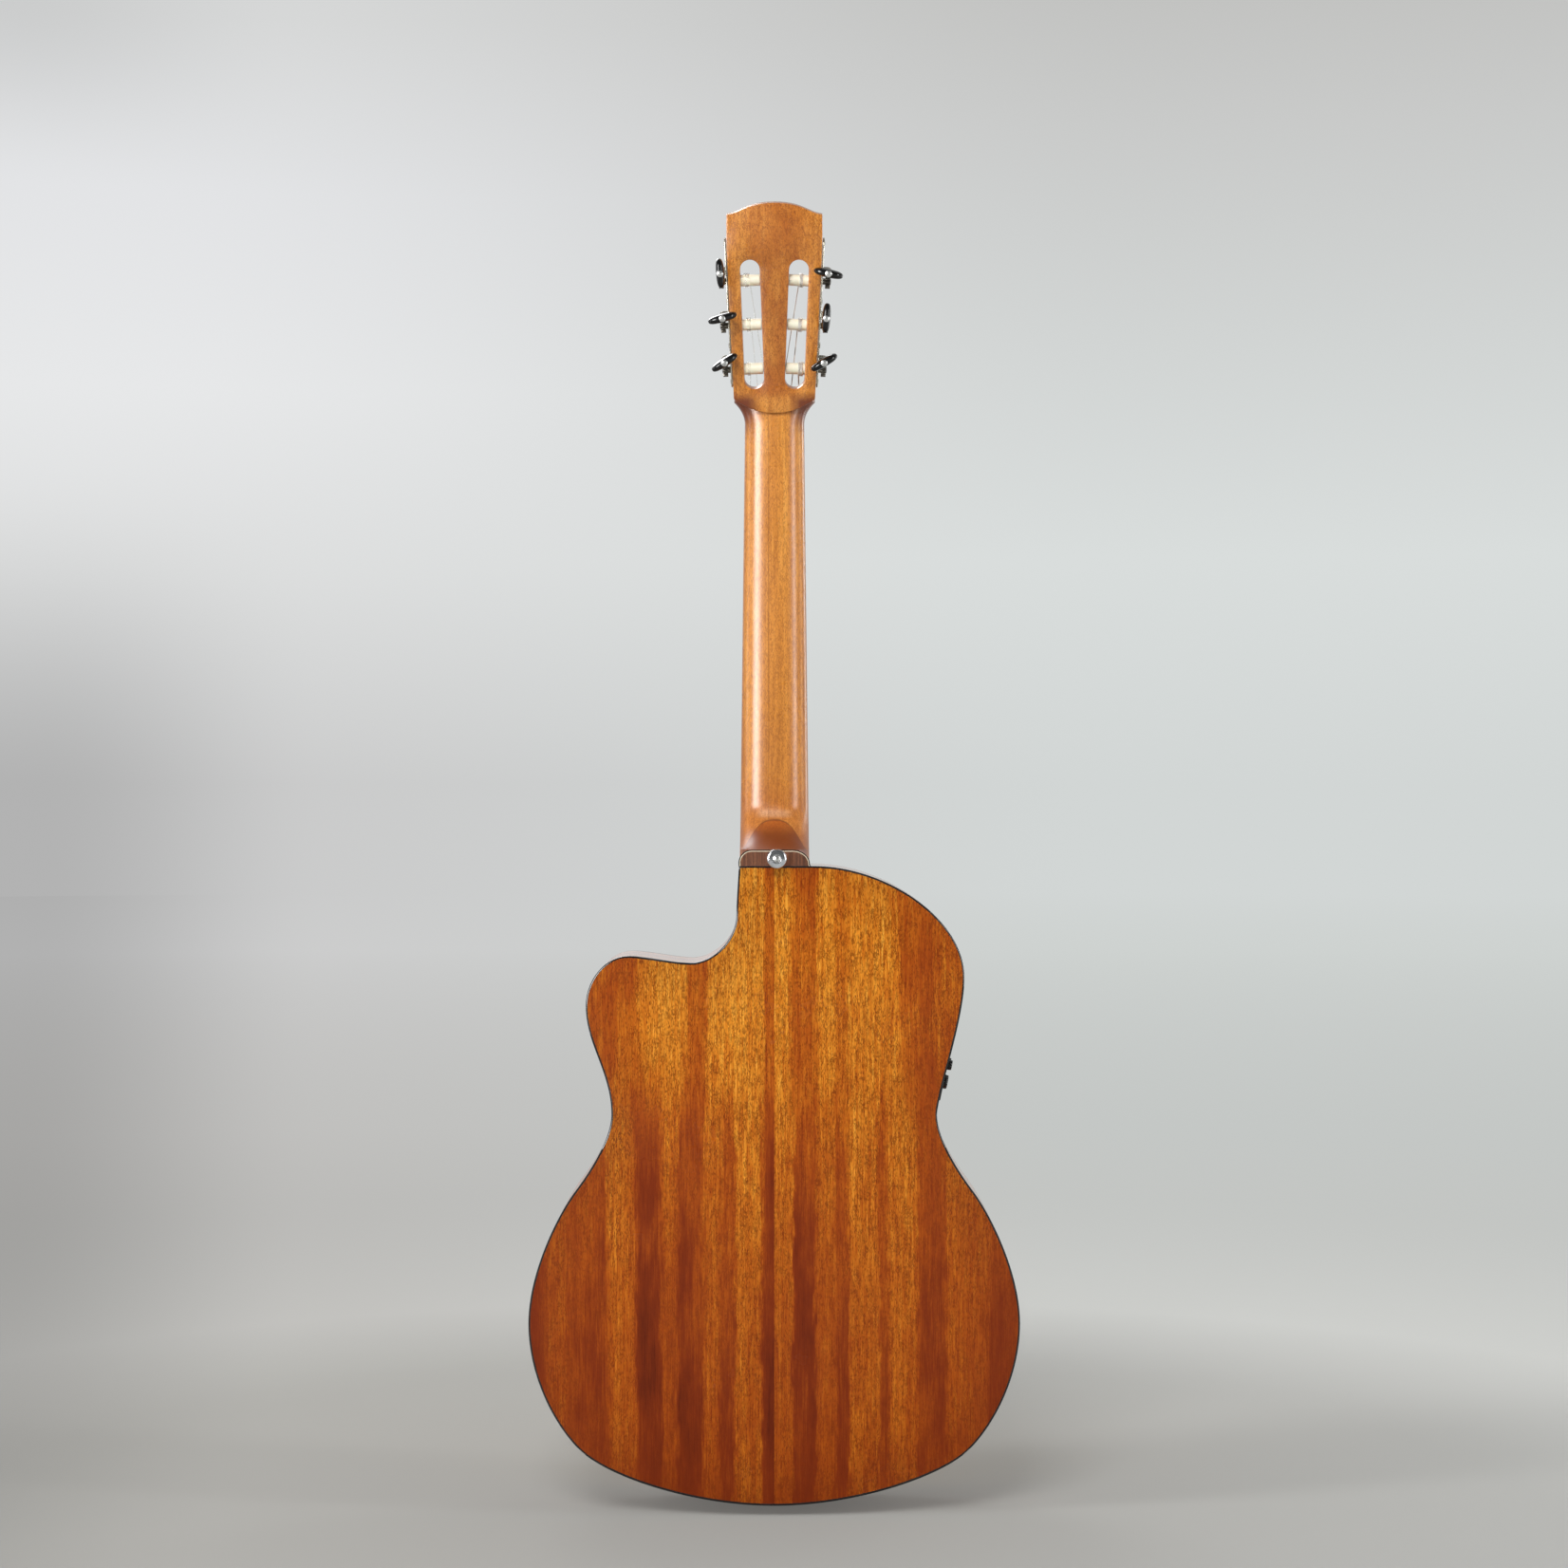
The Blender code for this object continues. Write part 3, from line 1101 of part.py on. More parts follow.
def make_tuner_plate(name, side):
    """Metal side plate with two brackets for each worm."""
    face = CLEARANCE + PLATE_THICKNESS
    middle = ROLLER_DEPTH
    half = PLATE_WIDTH / 2
    frame = EDGE_FRAMES[side]

    def sided(low, high):
        ends = sorted((side * low[0], side * high[0]))
        return (ends[0], low[1], low[2]), (ends[1], high[1], high[2])

    plate = box(name, *sided((CLEARANCE, middle - half, PLATE_FOOT), (face, middle + half, PLATE_TOP)),
                GOLDEN_METAL, frame)
    for i in range(3):
        roller = roller_height(i)
        worm_z = roller + WORM_OFFSET
        for way in (-1, 1):
            inner = middle + way * BRACKET_GAP / 2
            outer = inner + way * BRACKET_THICKNESS
            low = (face - 0.0005, min(inner, outer), worm_z - 0.0028)
            high = (face + WORM_STANDOFF + 0.0026, max(inner, outer), worm_z + 0.0028)
            join(plate, box(f"{name}_bracket_{i}_{way}", *sided(low, high), GOLDEN_METAL, frame))
        cut(plate, rod(f"{name}_roller_hole_{i}", ROLLER_SHAFT_RADIUS + CLEARANCE, -0.01, 0.0035, STEEL, frame,
                       along_x(0, middle, roller, side)))
        cut(plate, rod(f"{name}_worm_hole_{i}", WORM_SHAFT_RADIUS + CLEARANCE, -0.02, 0.03, STEEL, frame,
                       along_y(side * (face + WORM_STANDOFF), middle, worm_z), WORM_SIDES))


def make_roller(name, side, index):
    """Cream roller on its shaft, with the gear that the worm turns."""
    face = CLEARANCE + PLATE_THICKNESS
    gear_in = face + WORM_STANDOFF - GEAR_THICKNESS / 2
    reach = strip_edge(index) - CLEARANCE
    profile = [(0, gear_in + 0.001), (ROLLER_SHAFT_RADIUS, gear_in + 0.001), (ROLLER_SHAFT_RADIUS, -0.0005),
               (ROLLER_RADIUS, -0.0005), (ROLLER_RADIUS, -reach), (ROLLER_PIN_RADIUS, -reach),
               (ROLLER_PIN_RADIUS, -reach - ROLLER_PIN_LENGTH), (0, -reach - ROLLER_PIN_LENGTH)]
    place = along_x(0, ROLLER_DEPTH, roller_height(index), side)
    roller = turned(name, profile, CREAM_PLASTIC, EDGE_FRAMES[side], place, ROLLER_SIDES)
    rows = []
    for height in (gear_in, gear_in + GEAR_THICKNESS):
        row = []
        for i in range(2 * GEAR_TEETH):
            radius = GEAR_RADIUS - (GEAR_TOOTH_DEPTH if i % 2 else 0.0)
            turn = pi * i / GEAR_TEETH
            row.append((radius * cos(turn), radius * sin(turn), height))
        rows.append(row)
    join(roller, lofted(f"{name}_gear", rows, GOLDEN_METAL, EDGE_FRAMES[side], place))


def worm_rows():
    """Rings of points along a worm: shaft, right-hand thread, shaft and screw head."""
    half = WORM_PITCH * WORM_TURNS / 2
    button_end = BUTTON_START + BUTTON_DEPTH - ROLLER_DEPTH
    foot = -BRACKET_GAP / 2 - BRACKET_THICKNESS - 0.0006
    rings = [(foot, WORM_SHAFT_RADIUS, 0.0), (-half, WORM_SHAFT_RADIUS, 0.0)]
    thread_steps = 3 * WORM_TURNS
    for i in range(thread_steps + 1):
        rings.append((-half + WORM_PITCH * WORM_TURNS * i / thread_steps, WORM_RADIUS - WORM_GROOVE, WORM_GROOVE))
    head = button_end + CLEARANCE
    rings += [(half, WORM_SHAFT_RADIUS, 0.0), (head, WORM_SHAFT_RADIUS, 0.0), (head, BUTTON_SCREW_RADIUS, 0.0),
              (head + BUTTON_SCREW_HEIGHT, BUTTON_SCREW_RADIUS - 0.0003, 0.0)]
    rows = []
    for height, radius, thread in rings:
        row = []
        for i in range(WORM_SIDES):
            turn = 2 * pi * i / WORM_SIDES
            wave = 0.5 - 0.5 * cos(2 * pi * height / WORM_PITCH - turn + pi / 2)
            row.append(((radius + thread * wave) * cos(turn), (radius + thread * wave) * sin(turn), height))
        rows.append(row)
    return rows


def make_key(name, side, index, degrees):
    """One tuning key: the worm on its shaft and the button screwed to its end."""
    place = along_y(side * (CLEARANCE + PLATE_THICKNESS + WORM_STANDOFF), ROLLER_DEPTH,
                    roller_height(index) + WORM_OFFSET)
    frame = EDGE_FRAMES[side]
    lofted(f"{name}_worm", worm_rows(), STEEL, frame, place)
    bm = bmesh.new()
    bmesh.ops.create_uvsphere(bm, u_segments=12, v_segments=6, radius=1.0)
    squareness = 3.0
    for vert in bm.verts:
        vert.co /= sum(abs(c) ** squareness for c in vert.co) ** (1 / squareness)
    bmesh.ops.scale(bm, vec=(BUTTON_LENGTH / 2, BUTTON_THICKNESS / 2, BUTTON_DEPTH / 2), verts=bm.verts[:])
    bmesh.ops.rotate(bm, matrix=Matrix.Rotation(-radians(degrees), 3, "Z"), verts=bm.verts[:])
    middle = BUTTON_START + BUTTON_DEPTH / 2 - ROLLER_DEPTH
    bmesh.ops.translate(bm, vec=(0, 0, middle), verts=bm.verts[:])
    button = piece(f"{name}_button", finished(name, bm, 60), BLACK_PLASTIC, frame, place)
    cut(button, rod(f"{name}_button_bore", WORM_SHAFT_RADIUS + CLEARANCE, middle - 0.02, middle + 0.02, STEEL,
                    frame, place, WORM_SIDES))


def make_tuners():
    for side, word, turns in ((-1, "bass", BASS_BUTTON_TURNS), (1, "treble", TREBLE_BUTTON_TURNS)):
        make_tuner_plate(f"tuner_plate_{word}", side)
        for index in range(3):
            make_roller(f"roller_{word}_{index + 1}", side, index)
            make_key(f"key_{word}_{index + 1}", side, index, turns[index])


def panel_box(name, low, high, look):
    return box(name, low, high, look, PANEL_FRAME)


def panel_rod(name, radius, low, high, look, y, z, sides=ROUND_SIDES):
    return rod(name, radius, low, high, look, PANEL_FRAME, along_x(0, y, z), sides)


def tray_half_height():
    return CELL_THICKNESS / 2 + TRAY_WALL / 2 + CLEARANCE


def make_preamp_panel():
    """Plastic face let into the bass side, with its display window and openings."""
    half_y, half_z = PANEL_WIDTH / 2, PANEL_LENGTH / 2
    panel = panel_box("preamp_panel", (PANEL_PROUD - PANEL_THICKNESS, -half_y, -half_z),
                      (PANEL_PROUD, half_y, half_z), BLACK_PLASTIC)
    y, z = WINDOW_CENTRE
    width, height = WINDOW_SIZE
    cut(panel, panel_box("window_recess", (PANEL_PROUD - WINDOW_DEPTH, y - width / 2, z - height / 2),
                         (PANEL_PROUD + 0.01, y + width / 2, z + height / 2), BLACK_PLASTIC))
    shaft = KNOB_SHAFT_RADIUS + CLEARANCE
    for name, y, z in knob_places():
        cut(panel, panel_rod(f"{name}_hole", shaft, -0.01, 0.01, BLACK_PLASTIC, y, z))
    cut(panel, panel_rod("tuner_button_hole", TUNER_BUTTON_RADIUS + CLEARANCE, -0.01, 0.01, BLACK_PLASTIC,
                         TUNER_BUTTON_Y, TUNER_BUTTON_Z))
    half_tray = CELL_RADIUS + TRAY_WALL + 2 * CLEARANCE
    high = tray_half_height() + CLEARANCE
    cut(panel, panel_box("tray_slot", (-0.01, -half_tray, TRAY_Z - high), (0.01, half_tray, TRAY_Z + high),
                         BLACK_PLASTIC))


def knob_places():
    return (("volume_knob", 0.0, VOLUME_KNOB_Z), ("bass_knob", -TONE_KNOB_Y, TONE_KNOB_Z),
            ("treble_knob", TONE_KNOB_Y, TONE_KNOB_Z))


def make_preamp_housing():
    """Open box behind the panel, inside the body."""
    half_y, half_z = HOUSING_WIDTH / 2, HOUSING_LENGTH / 2
    rim = PANEL_PROUD - PANEL_THICKNESS - CLEARANCE
    housing = panel_box("preamp_housing", (rim - HOUSING_DEPTH, -half_y, -half_z), (rim, half_y, half_z),
                        BLACK_PLASTIC)
    wall = HOUSING_WALL
    cut(housing, panel_box("housing_hollow", (rim - HOUSING_DEPTH + wall, -half_y + wall, -half_z + wall),
                           (rim + 0.01, half_y - wall, half_z - wall), BLACK_PLASTIC))
    inner_y = half_y - wall - CLEARANCE
    inner_z = half_z - wall - CLEARANCE
    panel_box("circuit_board", (-BOARD_DEPTH - BOARD_THICKNESS, -inner_y, -inner_z),
              (-BOARD_DEPTH, inner_y, -inner_z + BOARD_LENGTH), BOARD_GREEN)


def make_knobs():
    """Fluted knobs on shafts that reach down to the circuit board."""
    seat = PANEL_PROUD + CLEARANCE
    for name, y, z in knob_places():
        radius = VOLUME_KNOB_RADIUS if name == "volume_knob" else TONE_KNOB_RADIUS
        rows = []
        for height, share in ((seat, 1.0), (seat + KNOB_HEIGHT - 0.0006, 0.94), (seat + KNOB_HEIGHT, 0.84)):
            row = []
            for i in range(2 * KNOB_FLUTES):
                turn = pi * i / KNOB_FLUTES
                out = radius * share * (1.0 if i % 2 else 0.955)
                row.append((out * cos(turn), out * sin(turn), height))
            rows.append(row)
        knob = lofted(name, rows, BLACK_PLASTIC, PANEL_FRAME, along_x(0, y, z))
        join(knob, panel_rod(f"{name}_shaft", KNOB_SHAFT_RADIUS, -BOARD_DEPTH + CLEARANCE, seat + 0.001, STEEL,
                             y, z))


def make_tuner_button():
    """Push button for the built-in tuner, held in by a collar behind the panel."""
    behind = PANEL_PROUD - PANEL_THICKNESS - CLEARANCE
    top = PANEL_PROUD + TUNER_BUTTON_PROUD
    low = -BOARD_DEPTH + TUNER_BUTTON_TRAVEL + CLEARANCE
    radius = TUNER_BUTTON_RADIUS
    profile = [(0, top), (radius - 0.0004, top), (radius, top - 0.0004), (radius, behind), (radius + 0.0010, behind),
               (radius + 0.0010, behind - 0.0010), (0.0012, behind - 0.0010), (0.0012, low), (0, low)]
    turned("tuner_button", profile, BLACK_PLASTIC, PANEL_FRAME, along_x(0, TUNER_BUTTON_Y, TUNER_BUTTON_Z))


def make_battery_tray():
    """Tray that slides out of the panel with the coin cell lying in it."""
    half_y = CELL_RADIUS + TRAY_WALL + CLEARANCE
    high = tray_half_height()
    inner = -2 * CELL_RADIUS - 2 * TRAY_WALL - CLEARANCE
    seat = PANEL_PROUD + CLEARANCE
    tray = panel_box("battery_tray", (inner, -half_y, TRAY_Z - high), (seat + 0.0005, half_y, TRAY_Z + high),
                     BLACK_PLASTIC)
    join(tray, panel_box("tray_face", (seat, -half_y - 0.002, TRAY_Z - high - 0.0015),
                         (seat + TRAY_FACE_THICKNESS, half_y + 0.002, TRAY_Z + high + 0.0015), BLACK_PLASTIC))
    middle = -CELL_RADIUS - TRAY_WALL
    floor = TRAY_Z - high + TRAY_WALL
    cut(tray, rod("cell_pocket", CELL_RADIUS + CLEARANCE, floor, TRAY_Z + 0.02, STEEL, PANEL_FRAME,
                  Matrix.Translation((middle, 0, 0)), 20))
    rod("coin_cell", CELL_RADIUS, floor + CLEARANCE, floor + CLEARANCE + CELL_THICKNESS, STEEL, PANEL_FRAME,
        Matrix.Translation((middle, 0, 0)), 20)


make_soundboard()
make_back()
make_sides()
make_bindings()
make_linings()
make_blocks()
make_top_braces()
make_back_braces()
make_neck()
make_head_veneer()
make_fretboard()
make_nut()
make_truss_rod()
make_heel_cap()
make_strap_button()
make_endpin_jack()
make_bridge()
make_strings()
make_tuners()
make_preamp_panel()
make_preamp_housing()
make_knobs()
make_tuner_button()
make_battery_tray()
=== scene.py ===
"""Looks of an acoustic-electric classical guitar: its finishes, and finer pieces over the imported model.

Metres, the soundboard towards -Y, the back towards +Y, the neck up along +Z. Bass side at -X.
"""

from math import atan2, cos, pi, radians, sin, tan

import bmesh
import bpy
from mathutils import Matrix, Vector
from mathutils.geometry import interpolate_bezier


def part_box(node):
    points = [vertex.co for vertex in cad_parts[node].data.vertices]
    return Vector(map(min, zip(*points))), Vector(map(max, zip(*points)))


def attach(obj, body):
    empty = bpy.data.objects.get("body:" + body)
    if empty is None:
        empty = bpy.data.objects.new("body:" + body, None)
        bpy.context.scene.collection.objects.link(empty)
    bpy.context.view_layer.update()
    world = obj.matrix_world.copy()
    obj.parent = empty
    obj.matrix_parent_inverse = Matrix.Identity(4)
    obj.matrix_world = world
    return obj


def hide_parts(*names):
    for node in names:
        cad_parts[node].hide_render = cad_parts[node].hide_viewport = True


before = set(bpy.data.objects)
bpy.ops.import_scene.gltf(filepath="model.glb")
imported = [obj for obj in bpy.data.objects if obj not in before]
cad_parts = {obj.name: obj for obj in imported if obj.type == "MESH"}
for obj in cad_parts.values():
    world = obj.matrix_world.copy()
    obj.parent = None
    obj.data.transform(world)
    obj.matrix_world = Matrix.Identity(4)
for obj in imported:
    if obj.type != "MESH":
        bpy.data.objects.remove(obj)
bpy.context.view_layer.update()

scene = bpy.context.scene
scene.view_settings.view_transform = "Standard"


# Camera, light and floor. The picture looks at the middle of the back, level, from two and a
# half metres. Softboxes light the back and the front; weaker ones show only as reflections.
# The floor fades into the pale room. Floor and walls carry painted light and shade: the walls are
# brightest a little above the horizon, the floor darker near the guitar, and the corner on the cutaway's side
# darker.
CAMERA_PLACE = (-0.0075, 2.492, 0.5525)
LIT_POINT = Vector((0, 0, 0.5))
LAMPS = (  # name, place, size, power, and which light it gives
    ("key_strip", (2.15, 0.85, 0.85), (0.42, 2.0), 40, "diffuse"),
    ("fill_strip", (-2.2, 0.62, 0.85), (0.22, 2.0), 20, "diffuse"),
    ("high_softbox", (0.5, 2.1, 2.1), (1.1, 1.1), 50, "diffuse"),
    ("front_softbox", (0.9, -2.1, 2.3), (1.2, 1.2), 40, "both"),
    ("front_strip", (-1.9, -1.3, 0.9), (0.4, 1.8), 16, "both"),
    ("high_reflector", (0.5, 2.1, 2.1), (1.1, 1.1), 18, "glossy"),
    ("left_reflector", (1.50, 1.98, 0.95), (0.85, 1.3), 66, "glossy"),
    ("right_reflector", (-1.75, 1.75, 0.95), (0.45, 1.3), 20, "glossy"),
    ("left_edge", (2.3, 0.2, 0.5), (0.5, 1.8), 8, "glossy"),
    ("right_edge", (-2.3, 0.2, 0.5), (0.5, 1.8), 6, "glossy"),
)
ROOM_LIGHT = 0.36
WALL_TURN = (0.20, -0.12)  # bearings between which the left wall's colours give way to the right's
CORNER = (0.14, 0.228)  # bearings over which the left corner darkens
FLOOR_Z = -0.0086
FLOOR_RADIUS = 14


def added(name, data):
    """A new object in the scene."""
    thing = bpy.data.objects.new(name, data)
    scene.collection.objects.link(thing)
    return thing


camera = added("camera", bpy.data.cameras.new("camera"))
camera.data.lens = 73.4
camera.data.sensor_width = 36
camera.location = CAMERA_PLACE
camera.rotation_euler = (radians(90), 0, radians(180))
scene.camera = camera

for name, place, size, power, kind in LAMPS:
    lamp = bpy.data.lights.new(name, "AREA")
    lamp.shape = "RECTANGLE"
    lamp.size, lamp.size_y = size
    lamp.energy = power
    holder = added(name, lamp)
    holder.location = place
    holder.visible_diffuse = kind != "glossy"
    holder.visible_glossy = kind != "diffuse"
    holder.rotation_euler = (LIT_POINT - Vector(place)).to_track_quat("-Z", "Y").to_euler()


class Flow:
    """What comes out of a node. Sums with it add maths nodes, and a key gives the node's other outputs."""

    def __init__(self, socket):
        self.socket = socket
        self.tree = socket.id_data

    __getitem__ = lambda self, key: Flow(self.socket.node.outputs[key])
    __add__ = lambda self, other: maths("ADD", self, other)
    __radd__ = lambda self, other: maths("ADD", other, self)
    __sub__ = lambda self, other: maths("SUBTRACT", self, other)
    __rsub__ = lambda self, other: maths("SUBTRACT", other, self)
    __mul__ = lambda self, other: maths("MULTIPLY", self, other)
    __truediv__ = lambda self, other: maths("DIVIDE", self, other)
    __rtruediv__ = lambda self, other: maths("DIVIDE", other, self)
    __lt__ = lambda self, other: maths("LESS_THAN", self, other)
    __gt__ = lambda self, other: maths("GREATER_THAN", self, other)
    __abs__ = lambda self: maths("ABSOLUTE", self)


def put(tree, kind, settings=None, **inputs):
    """Adds a node, with its inputs linked or set; _0 names an input by its number."""
    made = tree.nodes.new("ShaderNode" + kind)
    for name, value in (settings or {}).items():
        setattr(made, name, value)
    for name, value in inputs.items():
        socket = made.inputs[int(name[1:]) if name[1:].isdigit() else name.replace("_", " ")]
        if isinstance(value, Flow):
            tree.links.new(value.socket, socket)
        else:
            socket.default_value = value
    return Flow(made.outputs[0]) if made.outputs else None


def maths(operation, first, second=0.0, clamp=False):
    tree = (first if isinstance(first, Flow) else second).tree
    return put(tree, "Math", {"operation": operation, "use_clamp": clamp}, _0=first, _1=second)


def most(first, *others):
    """The greatest of several values."""
    for other in others:
        first = maths("MAXIMUM", first, other)
    return first


def vectors(operation, first, *others):
    inputs = {f"_{i}": one for i, one in enumerate((first, *others))}
    return put(first.tree, "VectorMath", {"operation": operation}, **inputs)


def apart(vector):
    parts = put(vector.tree, "SeparateXYZ", Vector=vector)
    return parts, parts[1], parts[2]


def together(x, y, z):
    return put(x.tree, "CombineXYZ", X=x, Y=y, Z=z)


def spread(value, low, high, start=0.0, end=1.0):
    """A value's range laid smoothly onto another."""
    return put(value.tree, "MapRange", {"interpolation_type": "SMOOTHSTEP"}, Value=value,
               From_Min=low, From_Max=high, To_Min=start, To_Max=end)


def tone(red, green, blue):
    """A colour as a screen shows it, 0 to 255, as Blender's linear values."""
    shares = [value / 255 for value in (red, green, blue)]
    return (*[s / 12.92 if s < 0.04 else ((s + 0.055) / 1.055) ** 2.4 for s in shares], 1.0)


def blend(share, first, second):
    """Two colours blended; a plain one is three numbers as a screen shows it."""
    first, second = (tone(*one) if isinstance(one, tuple) else one for one in (first, second))
    return put(share.tree, "Mix", {"data_type": "RGBA"}, _0=share, _6=first, _7=second)[2]


def ramp(value, stops, interpolation="LINEAR"):
    """Colours along a value; a stop is a place and a screen's three numbers, or a place and a grey share."""
    made = put(value.tree, "ValToRGB", Fac=value)
    scale = made.socket.node.color_ramp
    scale.interpolation = interpolation
    while len(scale.elements) < len(stops):
        scale.elements.new(1.0)
    for element, stop in zip(scale.elements, stops):
        element.position = stop[0]
    for element, (_, *colour) in zip(scale.elements, stops):
        element.color = tone(*colour) if len(colour) == 3 else (*colour * 3, 1)
    return made


def ray_masks(tree):
    """1 for rays from the camera, reflections and glass; and 1 for those from reflections alone."""
    rays = put(tree, "LightPath")
    reflected = rays["Is Glossy Ray"]
    return most(rays["Is Camera Ray"], reflected, rays["Is Transmission Ray"]), reflected


world = bpy.data.worlds.new("pale_room")
world.use_nodes = True
scene.world = world
sky = world.node_tree
sky.nodes.clear()
across, depth, up = apart(put(sky, "TexCoord"))
# Painted light and shade on the room's walls: each is brightest a little above the horizon and darker higher
# up, and the corner on the cutaway's side is painted darker, most just above the horizon.
left_wall = ramp(up, ((0.0, 202, 202, 202), (0.065, 221, 222, 222), (0.12, 231, 232, 233),
                      (0.18, 227, 228, 230), (0.23, 216, 217, 217), (0.6, 190, 191, 192)))
right_wall = ramp(up, ((0.0, 210, 214, 213), (0.07, 217, 221, 220), (0.13, 210, 213, 212),
                       (0.20, 201, 202, 201), (0.26, 190, 190, 188), (0.6, 184, 184, 183)))
wall = blend(spread(across, *WALL_TURN), left_wall, right_wall)
dim = (spread(up, 0.10, 0.0, 0.0, 0.24) + spread(up, 0.18, 0.23, 0.0, 0.12)) * spread(across, *CORNER)
wall = blend(dim, wall, (0, 0, 0))
seen, reflected = ray_masks(sky)
behind_camera = reflected * spread(depth, -0.1, 0.6)
lighting = put(sky, "Background", Color=(1, 1, 1, 1), Strength=ROOM_LIGHT)
looking = put(sky, "Background", Color=wall, Strength=1.0 - behind_camera * 0.8)
put(sky, "OutputWorld", Surface=put(sky, "MixShader", _0=seen, _1=lighting, _2=looking))


def mesh_of(name, bm):
    """Turns a bmesh into a mesh."""
    mesh = bpy.data.meshes.new(name)
    bm.to_mesh(mesh)
    bm.free()
    return mesh


bm = bmesh.new()
bmesh.ops.create_circle(bm, cap_ends=True, segments=96, radius=FLOOR_RADIUS)
bmesh.ops.translate(bm, vec=(0, 0, FLOOR_Z), verts=bm.verts[:])
floor = added("floor", mesh_of("floor", bm))
floor_look = bpy.data.materials.new("floor")
floor_look.use_nodes = True
floor.data.materials.append(floor_look)
tree = floor_look.node_tree
tree.nodes.clear()
spot = put(tree, "TexCoord")["Object"]
distance = vectors("LENGTH", spot)["Value"]
share = distance / FLOOR_RADIUS
# Painted shade on the floor: darker near the guitar, lighter far off where it meets the walls, and darker
# towards the corner on the cutaway's side.
left_floor = ramp(share, ((0.0, 150, 148, 144), (0.045, 162, 161, 157), (0.07, 182, 181, 178),
                          (0.2, 192, 191, 189), (0.6, 204, 204, 204), (1.0, 202, 202, 202)))
right_floor = ramp(share, ((0.0, 156, 155, 151), (0.045, 170, 170, 167), (0.07, 195, 196, 193),
                           (0.2, 196, 199, 197), (0.6, 206, 210, 208), (1.0, 210, 214, 213)))
bearing = apart(spot)[0] / (distance + CAMERA_PLACE[1])
colour = blend(spread(bearing, *WALL_TURN), left_floor, right_floor)
colour = blend(spread(bearing, *CORNER) * 0.27, colour, (0, 0, 0))
near = put(tree, "BsdfDiffuse", Color=colour, Roughness=0.6)
far = put(tree, "Emission", Color=colour, Strength=1.0)
fade = spread(distance, 0.25, 2.0, 0.35, 1.0) * ray_masks(tree)[0]
put(tree, "OutputMaterial", Surface=put(tree, "MixShader", _0=fade, _1=near, _2=far))


# Finishes shared by several pieces start here, with the ribs' mahogany: a group for wood grain
# and its pores, and one for the haze and fine marks that a handled surface has.
def effect(name, inputs, outputs):
    """A node group; gives the group, what comes into it, and its exit."""
    tree = bpy.data.node_groups.new(name, "ShaderNodeTree")
    for way, labels in (("INPUT", inputs), ("OUTPUT", outputs)):
        for label in labels:
            kind = "Vector" if label in ("Vector", "Direction") else "Float"
            tree.interface.new_socket(label, in_out=way, socket_type="NodeSocket" + kind)
    return tree, Flow(tree.nodes.new("NodeGroupInput").outputs[0]), tree.nodes.new("NodeGroupOutput")


def use(group, **inputs):
    return put(inputs["Vector"].tree, "Group", {"node_tree": group}, **inputs)


def feed(node, **sources):
    """Links values to a node's inputs."""
    for label, source in sources.items():
        source.tree.links.new(source.socket, node.inputs[label.replace("_", " ")])


def noise(place, scale, detail=2.0, roughness=0.5):
    """A cloudy value over a place; a scale of three numbers stretches it along the axes."""
    if isinstance(scale, tuple):
        place = put(place.tree, "Mapping", {"vector_type": "POINT"}, Vector=place, Scale=scale)
        scale = 1.0
    return put(place.tree, "TexNoise", Vector=place, Scale=scale, Detail=detail, Roughness=roughness)


grain, given, end = effect("wood_grain", ("Vector", "Streak Width", "Pore Length", "Pore Share"),
                           ("Streak", "Pore", "Height"))
place = given["Vector"]
width = 1.0 / given["Streak Width"]
streak = noise(vectors("MULTIPLY", place, together(width, width * 0.3, width * 0.022)), 1.0, 4.0, 0.62)
pore_size = 1.0 / given["Pore Length"]
pore_across = pore_size * 4.6
bent = vectors("MULTIPLY_ADD", noise(place, (160, 160, 60), 1.0)["Color"], (0.0026, 0, 0), place)
cells = put(grain, "TexVoronoi", Scale=1.0,
            Vector=vectors("MULTIPLY", bent, together(pore_across, pore_across, pore_size)))
kept = put(grain, "SeparateColor", Color=cells["Color"]) < given["Pore Share"]
wave_across = pore_size * 3.3
wave_place = vectors("MULTIPLY", place, together(wave_across, wave_across, pore_size))
broken = spread(noise(wave_place, 0.45), 0.34, 0.62, 0.15, 1.0)
wave = spread(abs(noise(wave_place, 1.0) - 0.5), 0.13, 0.01) * broken * given["Pore Share"]
pore = most(spread(cells, 0.44, 0.16) * kept, wave)
feed(end, Streak=streak, Pore=pore, Height=streak * 0.35 - pore)

handling, given, end = effect("handling_haze", ("Vector", "Scale", "Base Roughness", "Haze"),
                              ("Roughness", "Height"))
cloud = noise(given["Vector"], given["Scale"], 5.0, 0.6)
haze = spread(cloud, 0.35, 0.75, -0.5, 1.0) * given["Haze"]
feed(end, Roughness=maths("ADD", given["Base Roughness"], haze, clamp=True),
     Height=noise(given["Vector"], given["Scale"] * 40.0))


def look(name, **sockets):
    """A new material; gives it, its Principled shader, and the object's coordinates in its tree."""
    made = bpy.data.materials.new(name)
    made.use_nodes = True
    shader = made.node_tree.nodes["Principled BSDF"]
    for label, value in sockets.items():
        shader.inputs[label.replace("_", " ")].default_value = value
    return made, shader, put(made.node_tree, "TexCoord")["Object"]


def carried(tree, name):
    """A number that the mesh carries."""
    return put(tree, "Attribute", {"attribute_name": name})["Fac"]


def bumped(height, distance, strength):
    return put(height.tree, "Bump", Height=height, Distance=distance, Strength=strength)


